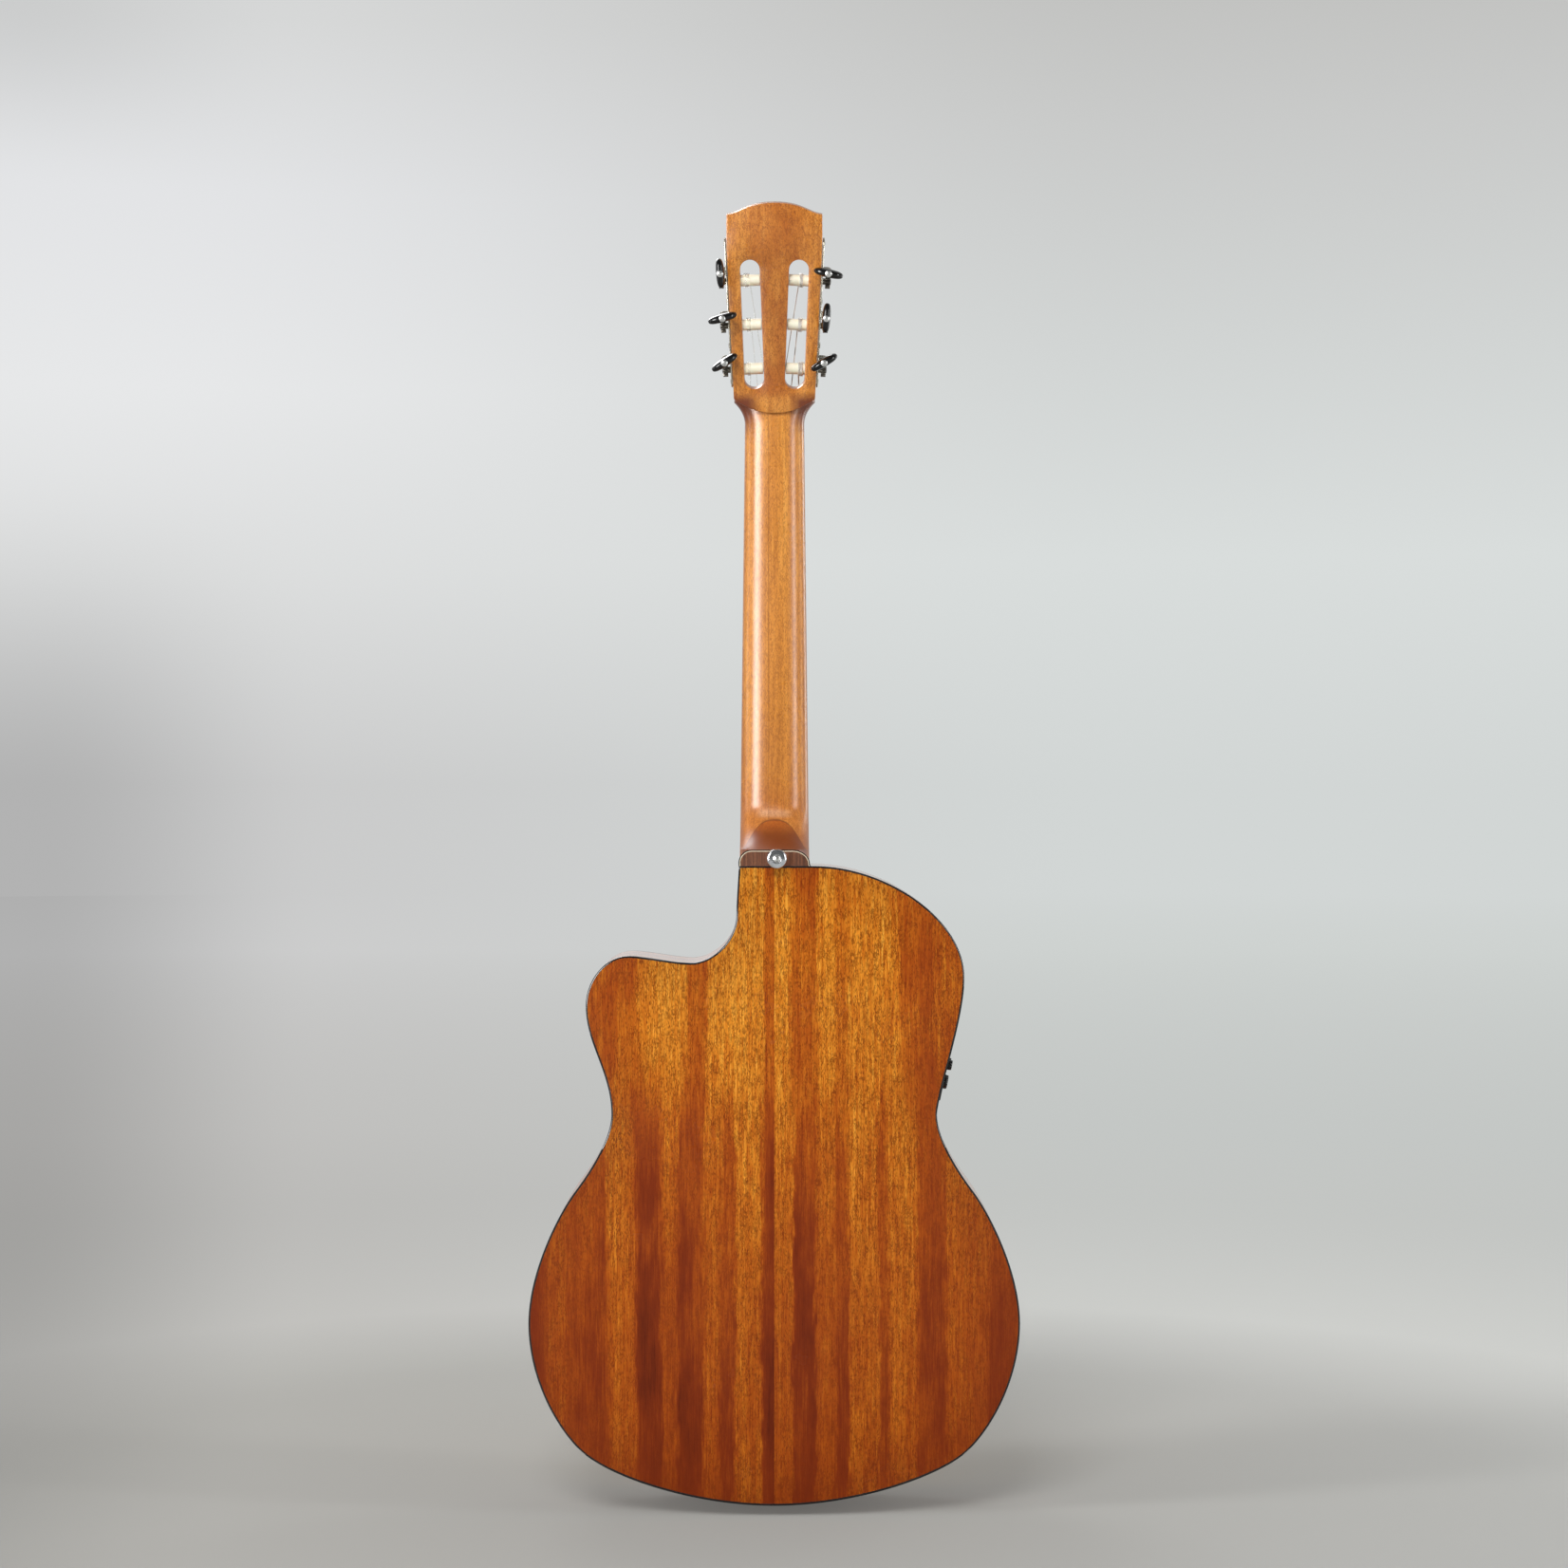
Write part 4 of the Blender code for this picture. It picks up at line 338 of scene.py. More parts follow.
def surfaced(shader, place, colour, wear, distance, strength, height=None):
    """Feeds a shader a colour, wear as (scale, roughness, haze), and a bump, the wear's if no other."""
    worn = use(handling, Vector=place, Scale=wear[0], Base_Roughness=wear[1], Haze=wear[2])
    feed(shader, Base_Color=colour, Roughness=worn["Roughness"],
         Normal=bumped(height or worn["Height"], distance, strength))


MAHOGANY_SHADES = (  # from the darkest ribbons to the most golden
    (0.0, 84, 26, 5), (0.25, 122, 44, 8), (0.5, 162, 74, 12),
    (0.70, 191, 104, 21), (0.87, 214, 134, 34), (1.0, 231, 160, 54),
)


def mahogany(shader, place, shade, pores=0.6, edge=None):
    """Colours wood by a shade from 0 to 1, with streaks and pores along Z of the place."""
    wood = use(grain, Vector=place, Streak_Width=0.0024, Pore_Length=0.0040, Pore_Share=pores)
    golden = spread(shade, 0.2, 0.75, 0.30, 1.0)
    streaks = (wood["Streak"] - 0.47) * 0.58
    hairs = (noise(place, (1300, 400, 60)) - 0.5) * 0.74
    figure = (streaks + hairs) * (0.2 + golden * 0.8)
    colour = ramp(maths("ADD", shade, figure, clamp=True), MAHOGANY_SHADES)
    if edge is not None:
        colour = blend(edge, colour, (116, 42, 10))
    colour = blend(wood["Pore"] * golden * 0.85, colour, (84, 28, 3))
    surfaced(shader, place, colour, (9.0, 0.25, 0.06), 0.00006, 0.35, wood["Height"])


# Ribs: two bent strips of mahogany, two millimetres thick, that meet at the tail and behind the
# heel. The bass rib is opened for the preamp's panel.
FRONT_Y = -0.045
BODY_LENGTH = 0.4895
BACK_Y, BACK_TAPER, BACK_ARCH = 0.045, 0.006, 9.2  # at the tail, towards the heel, and across
BINDING_WIDTH = 0.0014
BINDING_HEIGHT = 0.0055
SIDE_THICKNESS = 0.0020
RIM_STEP = 0.0035
LOWER_RIM = [  # (x, z, heading in degrees, handle before, handle after)
    (0.0, 0.0, 0, 0, 0.0625),
    (0.148994, 0.041978, 44, 0.0288, 0.0284),
    (0.1886, 0.139, 90, 0.0396, 0.0364),
    (0.152287, 0.240473, 127, 0.0254, 0.0149),
]
BASS_RIM = LOWER_RIM + [
    (0.125, 0.2988, 90, 0.0195, 0.0156),
    (0.1461, 0.4046, 90, 0.0336, 0.0435),
    (0.030, BODY_LENGTH, 180, 0.0569, 0),
]
TREBLE_RIM = LOWER_RIM + [
    (0.125, 0.2988, 90, 0.0195, 0.0332),
    (0.1448, 0.3823, 90, 0.0296, 0.0196),
    (0.1126, 0.4204, 180, 0.0171, 0.0132),
    (0.0645, 0.4151, 180, 0.0129, 0.0175),
    (0.0290, 0.4525, 90, 0.0196, 0.0106),
    (0.0272, BODY_LENGTH, 90, 0.0050, 0),
]
PANEL_OUT = Vector((-0.978976, 0, -0.203977))
PANEL_UP = Vector((-0.203977, 0, 0.978976))
PANEL_SEAT = Vector((-0.13598, -0.0025, 0.352))
PANEL_WIDTH = 0.044
PANEL_LENGTH = 0.090
OPENING_GAP = 0.0003
BODY_MIDDLE = Vector((0, 0, 0.2))


def curve_through(anchors):
    """Points along a row of Bezier anchors."""
    found = []
    for first, second in zip(anchors, anchors[1:]):
        start, end = Vector(first[:2]), Vector(second[:2])
        leaving = Vector((cos(radians(first[2])), sin(radians(first[2])))) * first[4]
        arriving = Vector((cos(radians(second[2])), sin(radians(second[2])))) * second[3]
        count = max(4, round((end - start).length / RIM_STEP))
        found += interpolate_bezier(start, start + leaving, end - arriving, end, count + 1)[:-1]
    return found + [Vector(anchors[-1][:2])]


bass_line = [Vector((-p.x, p.y)) for p in curve_through(BASS_RIM)]
treble_line = curve_through(TREBLE_RIM)[::-1]
RIM = bass_line + [Vector((0.0, BODY_LENGTH)), Vector((0.0243, BODY_LENGTH))] + treble_line[:-1]


def inset(points, distance):
    """A closed outline moved inwards."""
    moved = []
    for i, point in enumerate(points):
        before = (point - points[i - 1]).normalized()
        after = (points[(i + 1) % len(points)] - point).normalized()
        first, second = Vector((before.y, -before.x)), Vector((after.y, -after.x))
        moved.append(point + (first + second) * distance / (1 + first.dot(second)))
    return moved


def back_y(x, z, depth=0.0):
    """The arched back, or a surface a depth in front of it."""
    return BACK_Y - BACK_TAPER * z / BODY_LENGTH - x * x / BACK_ARCH - depth


def finish(name, bm, looks, body="guitar", replaces=None, place=None, sharp=25):
    """Makes a piece of a bmesh, with its finish, on its body and in place of its solid or those named."""
    if place is not None:
        bmesh.ops.transform(bm, matrix=place, verts=bm.verts[:])
    bmesh.ops.recalc_face_normals(bm, faces=bm.faces[:])
    mesh = mesh_of(name, bm)
    mesh.shade_smooth()
    mesh.set_sharp_from_angle(angle=radians(sharp))
    piece = added(name, mesh)
    for one in looks if isinstance(looks, list) else [looks]:
        mesh.materials.append(one)
    replaces = replaces or [name]
    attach(piece, body)
    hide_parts(*replaces)


def ring(bm, points, y=0.0, closed=True):
    """A line of vertices in the XZ plane; gives its vertices and edges."""
    verts = [bm.verts.new((p[0], y, p[1])) for p in points]
    ends = verts[1:] + verts[:1] if closed else verts[1:]
    return verts, [bm.edges.new(pair) for pair in zip(verts, ends)]


def new_verts(result):
    return [item for item in result["geom"] if isinstance(item, bmesh.types.BMVert)]


def sliced(bm, spot, normal, clear=False, reach=0.00001):
    """Cuts a mesh along a plane, and may clear what is beyond it; gives the cut's edges."""
    everything = bm.verts[:] + bm.edges[:] + bm.faces[:]
    cut = bmesh.ops.bisect_plane(bm, geom=everything, plane_co=spot, plane_no=normal, clear_outer=clear,
                                 dist=reach)
    return [item for item in cut["geom_cut"] if isinstance(item, bmesh.types.BMEdge)]


side_look, shader, place = look("ribbon_mahogany_side", Coat_Weight=0.8, Coat_Roughness=0.10,
                                Specular_IOR_Level=0.3)
place = together(apart(place)[1], 0.0, carried(place.tree, "along"))
ribbon = noise(place, (95, 1, 2.2), 2.0, 0.45)
mahogany(shader, place, spread(ribbon, 0.30, 0.70, 0.28, 0.78))

heel_end = len(bass_line)
for name, line in (("side_bass", RIM[:heel_end + 1]), ("side_treble", RIM[heel_end:] + RIM[:1])):
    bm = bmesh.new()
    along = bm.verts.layers.float.new("along")
    verts, edges = ring(bm, line, FRONT_Y + BINDING_HEIGHT, closed=False)
    run = 0.0
    for before, vert in zip([verts[0]] + verts, verts):
        run += (vert.co - before.co).length
        vert[along] = run
    for vert in new_verts(bmesh.ops.extrude_edge_only(bm, edges=edges)):
        vert.co.y = back_y(vert.co.x, vert.co.z, BINDING_HEIGHT)
    if name == "side_bass":
        for axis, size in ((PANEL_UP, PANEL_LENGTH), (Vector((0, 1, 0)), PANEL_WIDTH)):
            for way in (-1, 1):
                sliced(bm, PANEL_SEAT + axis * (size / 2 + OPENING_GAP) * way, axis)
        opening = []
        for face in bm.faces:
            offset = face.calc_center_median() - PANEL_SEAT
            if (abs(offset.dot(PANEL_UP)) < PANEL_LENGTH / 2 and abs(offset.y) < PANEL_WIDTH / 2
                    and abs(offset.dot(PANEL_OUT)) < 0.015):
                opening.append(face)
        bmesh.ops.delete(bm, geom=opening, context="FACES")
    bmesh.ops.recalc_face_normals(bm, faces=bm.faces[:])
    if sum(face.normal.dot(face.calc_center_median() - BODY_MIDDLE) for face in bm.faces) < 0:
        bmesh.ops.reverse_faces(bm, faces=bm.faces[:])
    bmesh.ops.solidify(bm, geom=bm.faces[:], thickness=SIDE_THICKNESS)
    finish(name, bm, side_look, sharp=40)


# Linings and blocks inside the ribs, where the soundboard and the back are glued, and the bars
# glued under both: quarter-sawn spruce and cedar, left unvarnished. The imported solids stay.
def dress(coat, *names):
    """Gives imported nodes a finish."""
    for name in names:
        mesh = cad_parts[name].data
        mesh.materials.clear()
        mesh.materials.append(coat)


def plain_wood(name, light, dark, turn, line_width, roughness):
    """Bare spruce or cedar: growth lines across the grain, a few pores, a dull surface."""
    made, shader, place = look(name, Roughness=roughness)
    place = put(place.tree, "Mapping", Vector=place, Rotation=(0, radians(turn), 0))
    wood = use(grain, Vector=place, Streak_Width=0.004, Pore_Length=0.006, Pore_Share=0.12)
    lines = noise(place, (1 / line_width, 30, 3.0), 3.0)
    colour = blend(spread(lines, 0.35, 0.68), light, dark)
    colour = blend(wood["Pore"] * 0.4, colour, dark)
    surfaced(shader, place, colour, (25.0, roughness, 0.08), 0.0001, 0.4, wood["Height"])
    return made


dress(plain_wood("brace_spruce", (222, 190, 140), (188, 146, 94), 0, 0.0012, 0.62),
      "top_braces", "neck_block", "tail_block")
dress(plain_wood("bar_spruce", (220, 186, 136), (186, 142, 90), 90, 0.0012, 0.62), "back_braces")
dress(plain_wood("lining_cedar", (188, 140, 92), (150, 100, 60), 0, 0.0020, 0.65),
      "top_lining", "back_lining")


# Soundboard: one plate of close-grained spruce, 2.5 mm thick, glued to the linings, with a round
# soundhole and an inlaid rosette of small wooden tiles between black and pale rings.
SOUNDHOLE_Z = 0.364
SOUNDHOLE_RADIUS = 0.043
ROSETTE_INNER, ROSETTE_OUTER = 0.0470, 0.0570
MOSAIC_START, MOSAIC_END = 0.22, 0.78  # shares of the rosette's width
PLATE_THICKNESS = 0.0025


def sheet(*outlines):
    """A flat sheet in the XZ plane, with an outline and then its holes."""
    bm = bmesh.new()
    edges = [edge for outline in outlines for edge in ring(bm, outline)[1]]
    bmesh.ops.triangle_fill(bm, use_beauty=True, use_dissolve=False, edges=edges)
    return bm


def raise_slab(bm, front, back):
    """Turns a flat sheet into a slab between two surfaces, or levels of Y; gives its back's vertices."""
    lower = bm.verts[:]
    upper = new_verts(bmesh.ops.extrude_face_region(bm, geom=bm.faces[:]))
    for verts, surface in ((lower, front), (upper, back)):
        for vert in verts:
            vert.co.y = surface(vert.co.x, vert.co.z) if callable(surface) else surface
    return upper


def circle_points(radius, centre_x, centre_z, count):
    turns = [2 * pi * i / count for i in range(count)]
    return [(centre_x + radius * cos(turn), centre_z + radius * sin(turn)) for turn in turns]


spruce_look, shader, place = look("spruce_top", Coat_Weight=0.45, Coat_Roughness=0.14)
rings = noise(place, (900, 1, 1.2), 2.0, 0.55)
colour = blend(spread(rings, 0.36, 0.70, 0.0, 0.75), (224, 178, 108), (198, 144, 76))
colour = blend(spread(noise(place, (60, 1, 0.8)), 0.35, 0.70, 0.0, 0.4), colour, (212, 158, 88))
colour = blend(spread(noise(place, (40, 1, 260)), 0.55, 0.75, 0.0, 0.16), colour, (240, 204, 140))
surfaced(shader, place, colour, (8.0, 0.34, 0.10), 0.00005, 0.3, rings)

bm = sheet(inset(RIM, BINDING_WIDTH), circle_points(SOUNDHOLE_RADIUS, 0, SOUNDHOLE_Z, 120))
raise_slab(bm, FRONT_Y, FRONT_Y + PLATE_THICKNESS)
finish("soundboard", bm, spruce_look, sharp=40)

rosette_look, shader, place = look("rosette_mosaic", Roughness=0.34, Coat_Weight=0.45, Coat_Roughness=0.14)
centred = vectors("SUBTRACT", place, (0, 0, SOUNDHOLE_Z))
x, _, z = apart(centred)
radius = vectors("LENGTH", together(x, 0.0, z))["Value"]
turn = maths("ARCTAN2", z, x)
lane = (radius - ROSETTE_INNER) / (ROSETTE_OUTER - ROSETTE_INNER)
tiles = put(place.tree, "TexChecker", Vector=together(turn * 28.0, lane * 11.0, 0.5), Scale=1.0,
            Color1=tone(120, 62, 30), Color2=tone(206, 160, 98))
mosaic = blend(spread(noise(centred, 2600.0, 1.0), 0.3, 0.7, 0.0, 0.35), tiles, (64, 34, 20))
lines = ramp(lane, ((0.0, 1), (0.07, 0), (0.12, 1), (0.17, 0), (MOSAIC_START, 0.5), (MOSAIC_END, 0),
                    (0.83, 1), (0.88, 0), (0.93, 1)), "CONSTANT")
strips = blend(lines, (26, 20, 18), (214, 178, 120))
feed(shader, Base_Color=blend((lane > MOSAIC_START) * (lane < MOSAIC_END), strips, mosaic))

bm = bmesh.new()
inner = ring(bm, circle_points(ROSETTE_INNER, 0, SOUNDHOLE_Z, 120))[1]
outer = ring(bm, circle_points(ROSETTE_OUTER, 0, SOUNDHOLE_Z, 120))[1]
bmesh.ops.bridge_loops(bm, edges=inner + outer)
raise_slab(bm, FRONT_Y - 0.00006, FRONT_Y + 0.0008)
finish("rosette", bm, rosette_look, sharp=40)


# Back: two book-matched leaves of ribbon-figured mahogany joined down the middle, 2.5 mm thick
# and slightly arched, glued to the linings and let in between the bindings.
# Each list gives the ribbons of one leaf: millimetres from the seam, and a shade from 0 to 1.
TREBLE_LOWER = ((0.5, 0.02), (4, 0.10), (8, 0.28), (11, 0.82), (28, 0.86), (32, 0.36), (39, 0.40),
                (43, 0.70), (52, 0.66), (57, 0.26), (71, 0.22), (76, 0.56), (84, 0.60), (89, 0.12),
                (103, 0.16), (109, 0.72), (125, 0.80), (131, 0.36), (157, 0.46), (163, 0.66),
                (173, 0.64), (180, 0.30), (189, 0.22))
BASS_LOWER = ((0.5, 0.70), (13, 0.72), (16, 0.22), (30, 0.16), (33, 0.60), (45, 0.64), (48, 0.40),
              (55, 0.38), (59, 0.84), (78, 0.80), (81, 0.48), (86, 0.50), (89, 0.82), (108, 0.80),
              (112, 0.40), (130, 0.40), (134, 0.66), (160, 0.64), (168, 0.40), (189, 0.34))
TREBLE_UPPER = ((0.5, 0.30), (6, 0.38), (9, 0.78), (36, 0.84), (51, 0.78), (55, 0.34), (65, 0.36),
                (70, 0.80), (90, 0.82), (101, 0.72), (108, 0.34), (130, 0.32), (146, 0.28))
BASS_UPPER = ((0.5, 0.78), (10, 0.80), (14, 0.36), (30, 0.34), (37, 0.76), (46, 0.74), (50, 0.44),
              (55, 0.46), (59, 0.68), (80, 0.72), (92, 0.62), (101, 0.26), (118, 0.18), (130, 0.34),
              (146, 0.28))
LEAF_WIDTH = 190  # millimetres
BACK_CUTS = ((0, -0.189, 0.189, 36), (2, 0.0, BODY_LENGTH, 46))  # axis, from, to and count

back_look, shader, place = look("ribbon_mahogany_back", Coat_Weight=0.06, Coat_Roughness=0.14,
                                Specular_IOR_Level=0.14)
x, _, z = apart(place)
from_seam = abs(x)
drift = (noise(place, (14, 0, 5)) - 0.5) * spread(from_seam, 0.0, 0.03, 0.0, 0.009)
wavy = (noise(place, (320, 0, 40), 3.0, 0.6) - 0.5) * spread(from_seam, 0.0, 0.01, 0.0, 0.012)
ribbon_place = (from_seam + drift + wavy) / (LEAF_WIDTH / 1000)
leaves = [ramp(ribbon_place, [(mm / LEAF_WIDTH, shade) for mm, shade in stops], "EASE")
          for stops in (TREBLE_LOWER, TREBLE_UPPER, BASS_LOWER, BASS_UPPER)]
upper_share = spread(z, 0.25, 0.37)
treble, bass = blend(upper_share, *leaves[:2]), blend(upper_share, *leaves[2:])
strength = spread(noise(place, (45, 0, 9)), 0.32, 0.66, 0.40, 0.70)
# Painted shade: golden colours the back darker towards the tail, standing in for light falling off down the
# body.
golden = spread(z, 0.06, 0.43, 0.53, 0.85)
shade = (blend(x > 0.0, bass, treble) - 0.80) * strength + golden
mottle = (noise(place, (90, 0, 26), 4.0, 0.6) - 0.5) * 0.34
shade = maths("ADD", shade, mottle, clamp=True)
# Painted shade: the back is coloured darker along the rim, more on the lower bout.
painted_rim_shade = spread(carried(place.tree, "to_rim"), 0.048, 0.0) * spread(z, 0.18, 0.32, 0.42, 0.26)
mahogany(shader, place, shade, pores=0.85, edge=painted_rim_shade)

bm = bmesh.new()
to_rim = bm.verts.layers.float.new("to_rim")
bm.faces.new(ring(bm, inset(RIM, BINDING_WIDTH))[0])
for axis, low, high, count in BACK_CUTS:
    for i in range(1, count):
        spot, normal = Vector((0, 0, 0)), Vector((0, 0, 0))
        spot[axis] = low + (high - low) * i / count
        normal[axis] = 1
        sliced(bm, spot, normal)
for vert in bm.verts:
    vert[to_rim] = min((point - vert.co.xz).length for point in RIM)
raise_slab(bm, lambda x, z: back_y(x, z, PLATE_THICKNESS), back_y)
finish("back_plate", bm, back_look, sharp=40)


# Bindings: black plastic strips let into both edges of the rim, glued, scraped flush and then
# rounded over at the corner.
binding_look, shader, place = look("black_binding", Coat_Weight=0.35, Coat_Roughness=0.08,
                                   Specular_IOR_Level=0.5)
colour = blend(noise(place, 60.0, 3.0), (8, 7, 6), (20, 17, 15))
surfaced(shader, place, colour, (30.0, 0.24, 0.12), 0.00002, 0.3)


def rounded(bm, edges, width, segments, clamp=True):
    bmesh.ops.bevel(bm, geom=edges, offset=width, offset_type="OFFSET", segments=segments, profile=0.5,
                    affect="EDGES", material=-1, clamp_overlap=clamp)


BINDINGS = (("top_binding", FRONT_Y + BINDING_HEIGHT, FRONT_Y),
            ("back_binding", lambda x, z: back_y(x, z, BINDING_HEIGHT), back_y))
for name, inner_face, outer_face in BINDINGS:
    bm = bmesh.new()
    corner = bm.verts.layers.int.new("corner")
    outside, outer = ring(bm, RIM)
    for vert in outside:
        vert[corner] = 1
    inner = ring(bm, inset(RIM, BINDING_WIDTH + 0.0002))[1]
    bmesh.ops.bridge_loops(bm, edges=outer + inner)
    shown = set(raise_slab(bm, inner_face, outer_face))
    rounded(bm, [e for e in bm.edges if all(v[corner] and v in shown for v in e.verts)], 0.0012, 5)
    finish(name, bm, binding_look, sharp=50)


# Neck: heel, shaft and slotted head, carved from one length of mahogany and lacquered. The
# shaft is flat where the fretboard is glued on and rounded behind, and flares into the head.
NUT_Z = 0.849958
HEAD_BEND_Z = 0.854958
NECK_WIDTHS = (0.0548, 0.0468)  # at the body and at the nut
SHAFT_BACK_Y = (-0.0284, -0.0302)  # at the body and at the nut
HEEL_TOP = BODY_LENGTH + 0.0125
HEEL_SCOOP = 0.0375
HEEL_END_Z = 0.56
HEEL_JOINT_Y = -0.0228  # where the heel's block is glued under the shaft
CAP_SEAT_Y = 0.0357
SEAM_X = 0.0046
FLARE_LENGTH = 0.018
FLARE_END_Z = 0.846
HEAD_HALF_FOOT = 0.032
HEAD_THICKNESS = 0.0195
HEAD_TURN = Matrix.Translation((0, FRONT_Y, HEAD_BEND_Z)) @ Matrix.Rotation(radians(-13), 4, "X")
SECTION_POINTS = 40


def neck_half_width(z):
    at_body, at_nut = NECK_WIDTHS
    return (at_body + (at_nut - at_body) * ((z - BODY_LENGTH) / (NUT_Z - BODY_LENGTH))) / 2


neck_look, shader, place = look("neck_mahogany", Coat_Weight=0.45, Coat_Roughness=0.24,
                                Specular_IOR_Level=0.35)
x, y, z = apart(place)
to_side = abs(x)
square = x * x
past_joint = y - (square * 8.0 + square * square * 70000.0 + HEEL_JOINT_Y)
in_heel = z < HEEL_END_Z
on_head = spread(z, 0.853, 0.862)
heel_block = spread(past_joint, -0.0002, 0.0004) * in_heel
wood = use(grain, Vector=place, Streak_Width=0.0022, Pore_Length=0.0032, Pore_Share=0.75)
value = wood["Streak"] * 0.55 + noise(place, (80, 20, 2.5)) * 0.45
colour = ramp(value, ((0.25, 154, 90, 28), (0.5, 202, 130, 50), (0.75, 230, 164, 78)))
# Painted shade: the wood is coloured darker down into the heel's scoop, and darker again at its foot below.
colour = blend(spread(z, 0.566, 0.532, 0.0, 0.4) * in_heel, colour, (176, 98, 40))
# Painted sheen: a pale band across the heel's scoop.
painted_sheen_band = spread(abs(z - 0.5292), 0.0045, 0.001) * spread(to_side, 0.017, 0.008, 0.0, 0.38)
colour = blend(painted_sheen_band, colour, (214, 172, 134))
# Painted shade at the heel's foot against the cap; the heel block's own end-grain tone is real, its darker foot
# painted.
colour = blend(spread(z, 0.521, 0.506, 0.0, 0.6), colour, (140, 76, 38))
heel_tone = blend(spread(z, 0.526, 0.511), (170, 84, 14), (100, 36, 6))
colour = blend(heel_block * 0.8, colour, heel_tone)
# Painted shade: the neck's sides below the flare are coloured darker, where they turn away from the light.
at_side = spread(to_side, 0.0195, 0.0265, 0.0, 0.45)
colour = blend(at_side * (z < FLARE_END_Z), colour, (128, 74, 34))
cloudy = spread(noise(place, (70, 70, 22), 3.0), 0.3, 0.7, 0.5, 1.4)
inside_edge = maths("MULTIPLY", spread(to_side, 0.010, 0.034, 0.55, 0.12), cloudy, clamp=True)
colour = blend(on_head * inside_edge, colour, (162, 84, 18))
# Painted shade: the flare's sides under the head's overhanging back are coloured dark.
in_flare = spread(z, 0.822, FLARE_END_Z) * (1.0 - on_head)
colour = blend(in_flare * spread(to_side, 0.009, 0.022, 0.0, 0.95), colour, (100, 40, 20))
joint = spread(abs(past_joint), 0.0010, 0.0, 0.0, 0.7) * in_heel
on_shaft = spread(z, FLARE_END_Z, 0.836) * (1.0 - heel_block)
seam = spread(abs(x - SEAM_X), 0.0005, 0.0001, 0.0, 0.5) * on_shaft
colour = blend(most(joint, seam), colour, (92, 46, 18))
colour = blend(wood["Pore"] * spread(z, 0.85, 0.86, 0.62, 0.80), colour, (108, 46, 8))
worn = use(handling, Vector=place, Scale=12.0, Base_Roughness=0.30, Haze=0.08)
rubbed = maths("ADD", worn["Roughness"], spread(z, 0.536, 0.518, 0.0, 0.2), clamp=True)
dulled = most(heel_block, spread(z, 0.532, 0.516), at_side, on_head * 0.45)
feed(shader, Base_Color=colour, Roughness=rubbed, Coat_Weight=0.45 - dulled * 0.40,
     Normal=bumped(wood["Height"], 0.00005, 0.3))


def lofted(rows):
    """Skins closed rows of points, and closes both ends."""
    bm = bmesh.new()
    loops = []
    for row in rows:
        verts = [bm.verts.new(point) for point in row]
        loops.append([bm.edges.new(pair) for pair in zip(verts, verts[1:] + verts[:1])])
    for first, second in zip(loops, loops[1:]):
        bmesh.ops.bridge_loops(bm, edges=first + second)
    for loop in (loops[0], loops[-1]):
        bmesh.ops.edgeloop_fill(bm, edges=loop)
    return bm


def cut_off(bm, spot, normal):
    """Cuts off what is beyond a plane, and closes the cut."""
    bmesh.ops.holes_fill(bm, edges=sliced(bm, spot, normal, True, 0.000001))


sections = [(BODY_LENGTH, neck_half_width(BODY_LENGTH), CAP_SEAT_Y, 3.4)]  # z, half width, back, squareness
for i in range(25):
    turn = pi / 2 * i / 24
    z = HEEL_TOP + HEEL_SCOOP * (1 - cos(turn))
    back = CAP_SEAT_Y - (CAP_SEAT_Y - SHAFT_BACK_Y[0]) * sin(turn)
    sections.append((z, neck_half_width(z), back, 3.4 - 1.0 * sin(turn) ** 1.5))
flare_start = HEAD_BEND_Z - FLARE_LENGTH
narrow = neck_half_width(flare_start)
for i in range(17):
    share = i / 16
    wide = narrow + (HEAD_HALF_FOOT - narrow) * share**2.2
    sections.append((flare_start + FLARE_LENGTH * share, wide, SHAFT_BACK_Y[1], 2.4 + 0.8 * share))
sections.append((HEAD_BEND_Z + 0.004, HEAD_HALF_FOOT, SHAFT_BACK_Y[1], 3.2))

rows = []
for z, half, back, squareness in sections:
    row = []
    for i in range(SECTION_POINTS + 1):
        turn = pi * i / SECTION_POINTS
        across = abs(cos(turn)) ** (2 / squareness) * (1 if cos(turn) > 0 else -1)
        depth = abs(sin(turn)) ** (2 / squareness) if 0 < i < SECTION_POINTS else 0.0
        row.append((half * across, FRONT_Y + (back - FRONT_Y) * depth, z))
    rows.append(row)
bm = lofted(rows)
cut_off(bm, (0, FRONT_Y, HEAD_BEND_Z), HEAD_TURN.to_3x3() @ Vector((0, -1, 0)))
finish("neck_shaft", bm, neck_look, replaces=["neck"], sharp=40)


def head_outline(foot):
    """The head seen face on, down to a foot given as points."""
    shoulder = Vector((0.03745, 0.1482))
    crown = interpolate_bezier(Vector((0.0, 0.1573)), Vector((0.0225, 0.1573)), Vector((0.0265, 0.1492)),
                               shoulder, 25)
    right = [Vector((p[0], p[1])) for p in crown] + [Vector((shoulder.x, 0.123))]
    return right + foot + [Vector((-p.x, p.y)) for p in right[:0:-1]]


def slot_outline(side, foot):
    """A slot with round ends that leans outwards towards the top of the head."""
    radius = 0.0077
    lower, upper = Vector((side * 0.0159, foot + radius)), Vector((side * 0.0192, 0.1135 - radius))
    lean = atan2(upper.x - lower.x, upper.y - lower.y)
    points = []
    for centre, start in ((upper, 0.0), (lower, pi)):
        for i in range(19):
            turn = start + pi * i / 18 - lean
            points.append(centre + Vector((cos(turn), sin(turn))) * radius)
    return points


